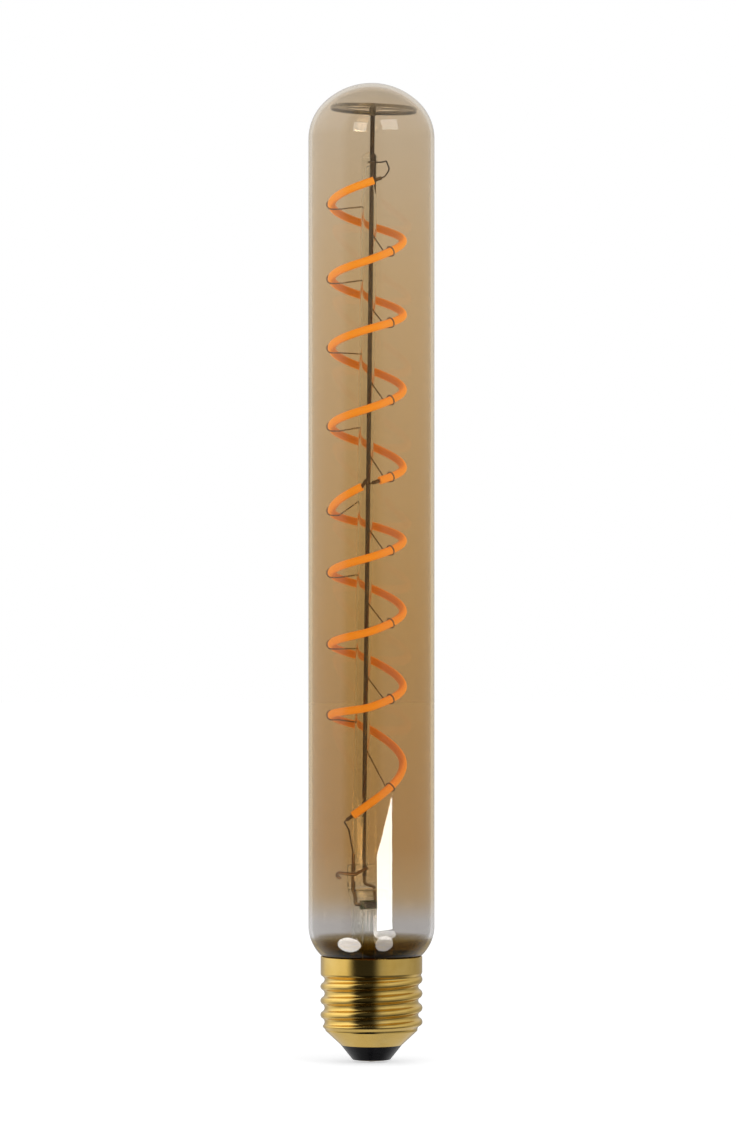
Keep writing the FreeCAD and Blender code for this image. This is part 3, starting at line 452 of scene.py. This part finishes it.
# %% [markdown]
# ## The spiral filaments
# Each filament is a flexible strip of light emitters under a thick orange silicone coat. It was wound
# by hand over wire supports, so the turns are not quite even. A smooth curve goes through the same
# places as the CAD strip, one filament after the other.
# %% Filaments
COIL_RADIUS = 9.35
COIL_SHIFT = -1.05
FIRST_ROOT = 218.4
COIL_PITCH = 18.8
RISES = (
    (0.5, 0.6, 0.8, -0.2),
    (0.4, 0.8, 0.6, 1.2),
    (1.5, 1.2, 0.3, -0.2),
    (0.3, 0.6, -0.9, -0.5),
    (-2.7, -1.1, -0.6, -0.5),
    (0.5, 1.7, 0.1, -0.6),
    (1.1, 2.1, -0.4, -1.0),
    (1.9, 3.0, -1.2),
)
START_AZIMUTH, START_RISE = -80.0, 6.1
JOINT_ANGLE, JOINT_GAP = -360 * 4 - 70.7, 27.6
END_AZIMUTH, END_DROP = -112.0, 7.0
HOOK_AZIMUTH = -50.0
POINT_EVERY = 26.0
TURNS = len(RISES)
FILAMENT_RADIUS = 1.0

knots = [(START_AZIMUTH, FIRST_ROOT + START_RISE)]
for turn, rises in enumerate(RISES):
    for quarter, rise in enumerate(rises):
        even = FIRST_ROOT - COIL_PITCH * (turn + quarter / 4)
        knots.append((-360 * turn - 180 - 90 * quarter, even + rise))
lowest = knots[-1][1] + COIL_PITCH * END_AZIMUTH / 360 - END_DROP
knots.append((-360 * TURNS + END_AZIMUTH, lowest))


def coil_point(angle):
    """A point of the spiral's centre line, in millimetres, at an angle in degrees."""
    for (first, high), (last, low) in zip(knots, knots[1:]):
        if last <= angle <= first:
            height = high + (low - high) * (first - angle) / (first - last)
            break
    azimuth = math.radians(angle)
    return COIL_SHIFT + COIL_RADIUS * math.cos(azimuth), COIL_RADIUS * math.sin(azimuth), height


def filament_route(start, end):
    """Control points from one angle to another, with a mark at each wire that holds the spiral."""
    hooks = [-360 * turn - 180 for turn in range(TURNS)]
    hooks += [-360 * (turn + 1) + HOOK_AZIMUTH for turn in range(TURNS)]
    marks = [start] + sorted((a for a in hooks if end < a < start), reverse=True) + [end]
    points = [coil_point(start)]
    for first, last in zip(marks, marks[1:]):
        steps = max(1, round((first - last) / POINT_EVERY))
        step = (first - last) / steps
        points += [coil_point(first - (i + 0.5) * step) for i in range(steps)]
    return points + [coil_point(end)]


# %% Filament finish and painted glow
def filament_material():
    """Orange coat with a painted glow, brighter where it faces out from the coil, with a fine uneven
    surface.
    """
    material, tree, shader = new_material("painted_glow_coat")
    coordinates = add(tree, "ShaderNodeTexCoord")
    centre = add(tree, "ShaderNodeVectorMath", operation="MULTIPLY_ADD")
    centre.inputs[1].default_value = (1, 1, 0)
    centre.inputs[2].default_value = (-COIL_SHIFT * MM, 0, 0)
    outward = add(tree, "ShaderNodeVectorMath", operation="NORMALIZE")
    geometry = add(tree, "ShaderNodeNewGeometry")
    facing = add(tree, "ShaderNodeVectorMath", operation="DOT_PRODUCT")
    side = add(tree, "ShaderNodeMapRange")
    side.inputs["From Min"].default_value = -1.0
    side.inputs["From Max"].default_value = 1.0
    tree.links.new(coordinates.outputs["Object"], centre.inputs[0])
    tree.links.new(centre.outputs["Vector"], outward.inputs[0])
    tree.links.new(outward.outputs["Vector"], facing.inputs[0])
    tree.links.new(geometry.outputs["Normal"], facing.inputs[1])
    tree.links.new(facing.outputs["Value"], side.inputs["Value"])
    colour = ramp(tree, side.outputs["Result"], (
        (0.0, (0.46, 0.130, 0.004)),
        (0.45, (0.60, 0.185, 0.007)),
        (0.75, (0.88, 0.300, 0.013)),
        (1.0, (0.95, 0.360, 0.020)),
    ))
    tree.links.new(colour, shader.inputs["Base Color"])
    # Painted glow: the coat gives off its own colour as light, brighter where it faces out from the coil.
    tree.links.new(colour, shader.inputs["Emission Color"])
    shader.inputs["Emission Strength"].default_value = 1.25
    shader.inputs["Roughness"].default_value = 0.45
    bump(tree, shader, grain(tree, 900, 3), 0.08)
    return material


painted_glow_coat_material = filament_material()
for name, node, start, end in (
    ("filament_strip_upper", "filament_upper", START_AZIMUTH, JOINT_ANGLE),
    ("filament_strip_lower", "filament_lower", JOINT_ANGLE - JOINT_GAP, -360 * TURNS + END_AZIMUTH),
):
    strip = tube(name, filament_route(start, end), FILAMENT_RADIUS)
    stands_for(strip, node)
    dress([name], painted_glow_coat_material)
    print(name, "faces", len(strip.data.polygons))

# %% [markdown]
# ## The screw cap
# The cap is one thin brass sheet: a plain collar, a rolled right-handed thread and a cone down to the
# black insulator. The wall is spun plain and then rolled by moving its vertices, which is how the thread
# gets its even pitch and its fading ends.
# %% Cap
CAP_TOP = node_box("cap_shell")[1].z
CAP_RADIUS = 13.0
CAP_SHEET = 0.3
RIM_EDGE = 0.1
THREAD_CREST, THREAD_DEPTH, THREAD_PITCH = 13.05, 1.05, 3.629
THREAD_PHASE = 21.1
THREAD_TOP, THREAD_BOTTOM, THREAD_RUNOUT = 23.0, 8.0, 1.8
CONE_TOP, CONE_BOTTOM = 11.75, 7.8
INSULATOR_TOP = 4.35


def fade(share):
    """Goes smoothly from 0 to 1 while the share does, and stays there outside it."""
    share = min(1.0, max(0.0, share))
    return share * share * (3 - 2 * share)


def cap_radius(turn, height):
    """Outer radius of the rolled sheet at a turn from 0 to 1 and a height."""
    bend = (THREAD_PITCH ** 2 / 4 + THREAD_DEPTH ** 2) / (4 * THREAD_DEPTH)
    along = (height - THREAD_PHASE - THREAD_PITCH * turn) % THREAD_PITCH
    along = min(along, THREAD_PITCH - along)
    if along < THREAD_PITCH / 4:
        wave = THREAD_CREST - bend + math.sqrt(bend ** 2 - along ** 2)
    else:
        wave = THREAD_CREST - THREAD_DEPTH + bend - math.sqrt(bend ** 2 - (THREAD_PITCH / 2 - along) ** 2)
    wave = CAP_RADIUS + (wave - CAP_RADIUS) * fade((THREAD_TOP - height) / THREAD_RUNOUT)
    return CONE_TOP + (wave - CONE_TOP) * fade((height - THREAD_BOTTOM) / THREAD_RUNOUT)


def roll_thread(x, y, z):
    """Moves a point of the plain wall out or in to the rolled thread, and keeps the sheet's thickness."""
    if not THREAD_BOTTOM <= z <= THREAD_TOP:
        return x, y, z
    radius = math.hypot(x, y)
    inset = CAP_RADIUS - radius
    turn = (math.atan2(y, x) / math.tau) % 1
    rolled = cap_radius(turn, z) - inset
    return x * rolled / radius, y * rolled / radius, z


wall_heights = line((0, THREAD_TOP), (0, THREAD_BOTTOM), 110)
outside = [(CAP_RADIUS - RIM_EDGE, CAP_TOP), (CAP_RADIUS, CAP_TOP - RIM_EDGE), (CAP_RADIUS, THREAD_TOP)]
outside += [(CAP_RADIUS, height) for _, height in wall_heights]
outside += line((CONE_TOP, THREAD_BOTTOM), (CONE_BOTTOM, INSULATOR_TOP), 4)
inside = line((CONE_BOTTOM - CAP_SHEET, INSULATOR_TOP), (CONE_TOP - CAP_SHEET, THREAD_BOTTOM), 4)[:-1]
inside = [(CONE_BOTTOM - CAP_SHEET, INSULATOR_TOP)] + inside
inside += [(CAP_RADIUS - CAP_SHEET, height) for _, height in wall_heights[::-1]]
inside += [(CAP_RADIUS - CAP_SHEET, THREAD_TOP), (CAP_RADIUS - CAP_SHEET, CAP_TOP)]
inside += [(CAP_RADIUS - RIM_EDGE, CAP_TOP)]
cap = reshape(lathe("cap_brass", outside + inside, 160), roll_thread)
stands_for(cap, "cap_shell")


def brass_material():
    """Bright rolled brass with fine lines round it, and a thin dull film in patches."""
    material, tree, shader = new_material("rolled_brass")
    shader.inputs["Metallic"].default_value = 1.0
    film = grain(tree, 140, 5)
    colour = ramp(tree, film, (
        (0.30, (0.72, 0.47, 0.11)),
        (0.55, (0.80, 0.545, 0.155)),
        (0.80, (0.84, 0.60, 0.21)),
    ))
    tree.links.new(colour, shader.inputs["Base Color"])
    dullness = ramp(tree, grain(tree, 260, 6), ((0.3, (0.11,) * 3), (0.75, (0.19,) * 3)))
    tree.links.new(dullness, shader.inputs["Roughness"])
    bump(tree, shader, grain(tree, 900, 3, (1, 1, 14)), 0.010)
    return material


dress(["cap_brass"], brass_material())

# %% [markdown]
# ## The foot of the cap
# Black glass fills the cone and carries a small brass plate with a drop of solder. Their sections are
# spun with rounded edges, because a moulded edge is never sharp.
# %% Insulator, contact and solder
INSULATOR_FOOT = node_box("cap_insulator")[0].z
INSULATOR_NOSE = 4.9
CONTACT_RADIUS = 4.2
CONTACT_SEAT = 0.33
WIRE_HOLE, PLATE_HOLE = 0.8, 0.3
FILL_TOP = node_box("cap_insulator")[1].z
slope = (CONE_TOP - CONE_BOTTOM) / (THREAD_BOTTOM - INSULATOR_TOP)
nose = [(CONTACT_RADIUS, INSULATOR_FOOT), (INSULATOR_NOSE - 0.25, INSULATOR_FOOT)]
nose += [(INSULATOR_NOSE - 0.05, INSULATOR_FOOT + 0.06), (INSULATOR_NOSE + 0.1, INSULATOR_FOOT + 0.25)]
flank = line((INSULATOR_NOSE + 0.1, INSULATOR_FOOT + 0.25), (CONE_BOTTOM, INSULATOR_TOP), 6)
fill = [
    (CONE_BOTTOM - CAP_SHEET, INSULATOR_TOP),
    (CONE_BOTTOM - CAP_SHEET + slope * (FILL_TOP - INSULATOR_TOP), FILL_TOP),
    (WIRE_HOLE, FILL_TOP),
    (WIRE_HOLE, INSULATOR_FOOT + CONTACT_SEAT),
    (CONTACT_RADIUS, INSULATOR_FOOT + CONTACT_SEAT),
    (CONTACT_RADIUS, INSULATOR_FOOT),
]
insulator = lathe("insulator_black", nose + flank + fill, 128)
stands_for(insulator, "cap_insulator")

plate_foot = node_box("contact_plate")[0].z
plate_head = node_box("contact_plate")[1].z
plate = lathe("contact_disc", [
    (PLATE_HOLE, plate_foot),
    (CONTACT_RADIUS - 0.25, plate_foot),
    (CONTACT_RADIUS - 0.1, plate_foot + 0.04),
    (CONTACT_RADIUS, plate_foot + 0.14),
    (CONTACT_RADIUS, plate_head),
    (PLATE_HOLE, plate_head),
    (PLATE_HOLE, plate_foot),
], 96)
stands_for(plate, "contact_plate")

solder_radius = node_box("contact_solder")[1].x
solder_bend = (solder_radius ** 2 + plate_foot ** 2) / (2 * plate_foot)
solder_edge = math.degrees(math.asin(solder_radius / solder_bend))
solder_dome = arc((0, solder_bend), solder_bend, -90, -90 + solder_edge, 10)
solder = lathe("solder_drop", solder_dome + [(0, plate_foot)], 64)
stands_for(solder, "contact_solder")


def black_glass_material():
    """Dense black glass, nearly smooth, with a weak gleam."""
    material, tree, shader = new_material("black_vitreous_glass")
    colour = ramp(tree, grain(tree, 300, 4), ((0.3, (0.005, 0.005, 0.006)), (0.8, (0.014, 0.014, 0.016))))
    tree.links.new(colour, shader.inputs["Base Color"])
    shader.inputs["Roughness"].default_value = 0.20
    shader.inputs["Specular IOR Level"].default_value = 0.25
    bump(tree, shader, grain(tree, 420, 4), 0.03)
    return material


def metal_material(name, dark, light, roughness, scale=500):
    """A metal whose colour and polish vary a little over the surface."""
    material, tree, shader = new_material(name)
    shader.inputs["Metallic"].default_value = 1.0
    pattern = grain(tree, scale, 5)
    tree.links.new(ramp(tree, pattern, ((0.3, dark), (0.75, light))), shader.inputs["Base Color"])
    polish = ramp(tree, pattern, ((0.3, (roughness * 0.8,) * 3), (0.8, (roughness * 1.25,) * 3)))
    tree.links.new(polish, shader.inputs["Roughness"])
    bump(tree, shader, grain(tree, scale * 3, 3), 0.008)
    return material


def dull_material(name, dark, light, roughness, scale=600, height=0.02, clear_coat=0.0):
    """A plastic, board or coating whose tone varies a little over the surface."""
    material, tree, shader = new_material(name)
    pattern = grain(tree, scale, 5)
    tree.links.new(ramp(tree, pattern, ((0.3, dark), (0.75, light))), shader.inputs["Base Color"])
    shader.inputs["Roughness"].default_value = roughness
    shader.inputs["Coat Weight"].default_value = clear_coat
    bump(tree, shader, grain(tree, scale * 2, 3), height)
    return material


dress(["insulator_black"], black_glass_material())
dress(["contact_disc"], metal_material("contact_brass", (0.50, 0.36, 0.17), (0.66, 0.50, 0.27), 0.32))
dress(["solder_drop"], metal_material("dull_solder", (0.40, 0.40, 0.39), (0.58, 0.58, 0.56), 0.42))

# %% [markdown]
# ## Wires, plate and driver
# These CAD nodes already have their true shape, so they stay and only get a finish: dark oxidised wire,
# thin nickel supports, a plated spring plate, a small board in the stem and the driver in the cap.
# %% Finishes of the CAD nodes
every = sorted(nodes)
supports = [name for name in every if "support" in name]
links = [name for name in every if name.endswith(("_link", "_tab")) or "joint_tab" in name]
dress(supports, metal_material("support_wire", (0.20, 0.16, 0.11), (0.34, 0.28, 0.20), 0.38))
dress(links, metal_material("dark_link_wire", (0.09, 0.060, 0.030), (0.17, 0.12, 0.06), 0.45))
dress(["return_wire"],
      metal_material("oxidised_wire", (0.060, 0.038, 0.015), (0.12, 0.080, 0.035), 0.48, 300))
dress(["centring_plate", "plate_crimp"],
      metal_material("plated_spring_plate", (0.22, 0.19, 0.13), (0.42, 0.37, 0.27), 0.24, 260))
dress(["feed_lead", "return_lead", "press_stay"],
      metal_material("copper_lead", (0.16, 0.10, 0.05), (0.28, 0.18, 0.09), 0.35))
dress(["contact_wire", "shell_wire", "board_wire_left", "board_wire_right"],
      metal_material("tinned_wire", (0.62, 0.61, 0.58), (0.80, 0.79, 0.76), 0.30))
dress(["driver_board", "chip_board"],
      dull_material("green_board", (0.030, 0.075, 0.020), (0.055, 0.125, 0.035), 0.4))
dress(["driver_chip", "bridge_rectifier"],
      dull_material("moulded_black", (0.008, 0.008, 0.008), (0.025, 0.025, 0.025), 0.5))
dress(["smoothing_capacitor"],
      dull_material("capacitor_sleeve", (0.010, 0.010, 0.013), (0.030, 0.030, 0.036), 0.28, clear_coat=0.4))
dress(["fuse_resistor"], dull_material("resistor_coat", (0.10, 0.22, 0.17), (0.16, 0.32, 0.25), 0.45))
dress(["cap_cement"],
      dull_material("set_cement", (0.045, 0.030, 0.010), (0.090, 0.062, 0.022), 0.7, 900, 0.12))
for name in every:
    if not nodes[name].hide_render:
        deselect_all()
        nodes[name].select_set(True)
        bpy.context.view_layer.objects.active = nodes[name]
        bpy.ops.object.shade_smooth_by_angle(angle=math.radians(40))
print("CAD nodes shown", sum(not node.hide_render for node in nodes.values()))

# %% [markdown]
# ## Studio
# The lamp stands on a pale floor in front of a white backdrop. What glass and brass mirror matters more
# here than what lights them: a real product photograph has a dark camera side between bright screens.
# So the world shows plain white to the camera and through glass, and a room of screens to reflections.
# %% Helpers for the room
def calculate(tree, operation, first, second=None):
    """A Math node; its inputs are numbers or the outputs of other nodes."""
    node = add(tree, "ShaderNodeMath", operation=operation)
    for socket, value in zip(node.inputs, (first, second)):
        if value is None:
            continue
        if isinstance(value, bpy.types.NodeSocket):
            tree.links.new(value, socket)
        else:
            socket.default_value = value
    return node.outputs["Value"]


def soft_step(tree, value, start, end, low=0.0, high=1.0, kind="SMOOTHSTEP"):
    """Goes from low to high while the value goes from start to end."""
    node = add(tree, "ShaderNodeMapRange", interpolation_type=kind)
    for name, number in (("From Min", start), ("From Max", end), ("To Min", low), ("To Max", high)):
        node.inputs[name].default_value = number
    tree.links.new(value, node.inputs["Value"])
    return node.outputs["Result"]


# %% Floor
FLOOR_COLOUR = 0.80
FLOOR_GLOW = 0.56
deselect_all()
bpy.ops.mesh.primitive_circle_add(vertices=96, radius=4.0, fill_type="NGON", location=(0, 0, -0.02 * MM))
floor = bpy.context.object
floor.name = "floor"
floor.visible_glossy = False
floor_material, tree, shader = new_material("pale_floor")
shader.inputs["Base Color"].default_value = (FLOOR_COLOUR, FLOOR_COLOUR, FLOOR_COLOUR, 1)
shader.inputs["Roughness"].default_value = 0.9
shader.inputs["Specular IOR Level"].default_value = 0.0
shader.inputs["Emission Color"].default_value = (1, 1, 1, 1)
path = add(tree, "ShaderNodeLightPath")
seen = calculate(tree, "MAXIMUM", path.outputs["Is Camera Ray"], path.outputs["Is Transmission Ray"])
tree.links.new(calculate(tree, "MULTIPLY", seen, FLOOR_GLOW), shader.inputs["Emission Strength"])
floor.data.materials.append(floor_material)

# %% [markdown]
# The room of screens is a pattern over the direction of a reflection. Azimuth 0 is the camera's side and
# grows to the right. A tall screen stands on each side of a dark front, and the rest is grey.
# %% Backdrop, room of screens and ambient light
AMBIENT = 0.60
SCREENS = (
    (-180, 0.42), (-150, 0.50), (-120, 0.85), (-100, 0.95), (-62, 0.95), (-38, 0.03),
    (3, 0.03), (28, 0.48), (42, 0.56), (75, 0.50), (125, 0.42), (180, 0.42),
)

world = bpy.data.worlds.new("studio")
bpy.context.scene.world = world
world.use_nodes = True
tree = world.node_tree
background = tree.nodes["Background"]
direction = add(tree, "ShaderNodeTexCoord")
split = add(tree, "ShaderNodeSeparateXYZ")
tree.links.new(direction.outputs["Generated"], split.inputs["Vector"])
towards_camera = calculate(tree, "MULTIPLY", split.outputs["Y"], -1.0)
azimuth = calculate(tree, "DEGREES", calculate(tree, "ARCTAN2", split.outputs["X"], towards_camera))
elevation = calculate(tree, "DEGREES", calculate(tree, "ARCSINE", split.outputs["Z"]))
screens = ramp(
    tree,
    soft_step(tree, azimuth, -180, 180, kind="LINEAR"),
    [((angle + 180) / 360, (level, level, level)) for angle, level in SCREENS],
)
screens.node.color_ramp.interpolation = "EASE"
ceiling = soft_step(tree, elevation, 35, 70, 1.0, 0.4)
upper = soft_step(tree, elevation, 4, 22, 1.0, 1.5)
lower = soft_step(tree, elevation, -36, -8, 0.3, 1.0)
behind = soft_step(tree, calculate(tree, "ABSOLUTE", azimuth), 95, 140)
table = soft_step(tree, elevation, -12, -30, 0.0, 0.5)
room = calculate(tree, "MULTIPLY", screens, ceiling)
room = calculate(tree, "MULTIPLY", calculate(tree, "MULTIPLY", room, upper), lower)
room = calculate(tree, "ADD", room, calculate(tree, "MULTIPLY", behind, table))
path = add(tree, "ShaderNodeLightPath")
mirror = add(tree, "ShaderNodeMix", data_type="FLOAT")
mirror.inputs["A"].default_value = AMBIENT
tree.links.new(path.outputs["Is Glossy Ray"], mirror.inputs["Factor"])
tree.links.new(room, mirror.inputs["B"])
seen = calculate(tree, "MAXIMUM", path.outputs["Is Camera Ray"], path.outputs["Is Transmission Ray"])
level = add(tree, "ShaderNodeMix", data_type="FLOAT")
level.inputs["B"].default_value = 1.0
tree.links.new(seen, level.inputs["Factor"])
tree.links.new(mirror.outputs["Result"], level.inputs["A"])
tree.links.new(level.outputs["Result"], background.inputs["Strength"])
background.inputs["Color"].default_value = (1, 1, 1, 1)


# %% Lamps
def softbox(name, azimuth, elevation, distance, width, height, radiance):
    """A rectangular lamp aimed at the upper half of the tube; angles in degrees, sizes in millimetres."""
    aim = Vector((0, 0, 150))
    turn, lift = math.radians(azimuth), math.radians(elevation)
    away = Vector((math.sin(turn) * math.cos(lift), -math.cos(turn) * math.cos(lift), math.sin(lift)))
    bpy.ops.object.light_add(type="AREA", location=(aim + away * distance) * MM)
    lamp = bpy.context.object
    lamp.name = name
    lamp.data.shape = "RECTANGLE"
    lamp.data.size, lamp.data.size_y = width * MM, height * MM
    lamp.data.energy = radiance * math.pi * width * height * MM * MM
    lamp.rotation_euler = away.to_track_quat("Z", "Y").to_euler()
    lamp.visible_camera = False
    return lamp


softboxes = [
    softbox("softbox_left", -22, 25, 1200, 500, 430, 2.5),
    softbox("softbox_right", 36, 30, 1200, 620, 470, 2.5),
]


def card(name, shape, place, rotation, width, height, radiance):
    """A small bright card in front of the lamp, whose gleam shows in the glass only."""
    bpy.ops.object.light_add(type="AREA", location=Vector(place) * MM, rotation=rotation)
    lamp = bpy.context.object
    lamp.name = name
    lamp.data.shape = shape
    lamp.data.size, lamp.data.size_y = width * MM, height * MM
    area = width * height * MM * MM * (math.pi / 4 if shape == "ELLIPSE" else 1)
    lamp.data.energy = radiance * math.pi * area
    lamp.visible_camera = False
    return lamp


def table_card(name, azimuth, distance, width, length, radiance):
    """An oval card flat on the table, with its long side pointing at the lamp's foot."""
    turn = math.radians(azimuth)
    place = (math.sin(turn) * distance, -math.cos(turn) * distance, 1.0)
    return card(name, "ELLIPSE", place, (math.pi, 0, turn), width, length, radiance)


def link_light(lamp, names, state):
    """Lets a lamp light only the named pieces, or all but them, as flags and shades do in a studio."""
    deselect_all()
    for name in names:
        bpy.data.objects[name].select_set(True)
    lamp.select_set(True)
    bpy.context.view_layer.objects.active = lamp
    bpy.ops.object.light_linking_receivers_link(link_state=state)


# %% [markdown]
# An upright card on the right, with its top edge aslant, gives the long white gleam low on the tube. Oval
# cards flat on the table carry it on round the shoulder and add the patch to its left.
# %% Cards
WINDOW_AZIMUTH, WINDOW_DISTANCE = 23.75, 416.0
WINDOW_WIDTH, WINDOW_HEIGHT = 203.0, 50.0
WINDOW_MIDDLE, WINDOW_SLANT, WINDOW_RADIANCE = 18.0, 5.6, 17
turn = math.radians(WINDOW_AZIMUTH)
place = (math.sin(turn) * WINDOW_DISTANCE, -math.cos(turn) * WINDOW_DISTANCE, WINDOW_MIDDLE)
upright = Matrix.Rotation(turn, 3, "Z") @ Matrix.Rotation(math.radians(90), 3, "X")
upright = upright @ Matrix.Rotation(math.radians(WINDOW_SLANT), 3, "Z")
window_size = (WINDOW_WIDTH, WINDOW_HEIGHT)
cards = [
    card("window_card", "RECTANGLE", place, upright.to_euler(), *window_size, WINDOW_RADIANCE),
    table_card("table_card_right", 24, 62, 30, 72, 6),
    table_card("table_card_far", 24, 240, 118, 350, 5),
    table_card("table_card_left", -44, 52, 40, 52, 12),
]
for lamp in softboxes:
    link_light(lamp, ["cap_brass"], "EXCLUDE")
for lamp in cards:
    link_light(lamp, ["envelope_glass"], "INCLUDE")

# %% Camera
# A long lens far away and level with the middle of the lamp, so that its sides stay nearly parallel
CAMERA_DISTANCE, CAMERA_HEIGHT, CAMERA_LIFT, CAMERA_SIDE = 1450.0, 125.0, 0.025, -0.5
LENS_PIXELS, FRAME_HEIGHT = 5676.0, 1140.0
bpy.ops.object.camera_add(
    location=(CAMERA_SIDE * MM, -CAMERA_DISTANCE * MM, CAMERA_HEIGHT * MM),
    rotation=(math.radians(90 + CAMERA_LIFT), 0, 0),
)
camera = bpy.context.object
camera.data.sensor_width = 36.0
camera.data.lens = LENS_PIXELS / FRAME_HEIGHT * camera.data.sensor_width
bpy.context.scene.camera = camera

# %% Render settings that belong to the looks
scene = bpy.context.scene
scene.view_settings.view_transform = "Standard"
scene.cycles.max_bounces = 32
scene.cycles.transmission_bounces = 28
scene.cycles.transparent_max_bounces = 32
scene.cycles.glossy_bounces = 8
scene.cycles.diffuse_bounces = 3
scene.cycles.caustics_reflective = False
scene.cycles.caustics_refractive = False
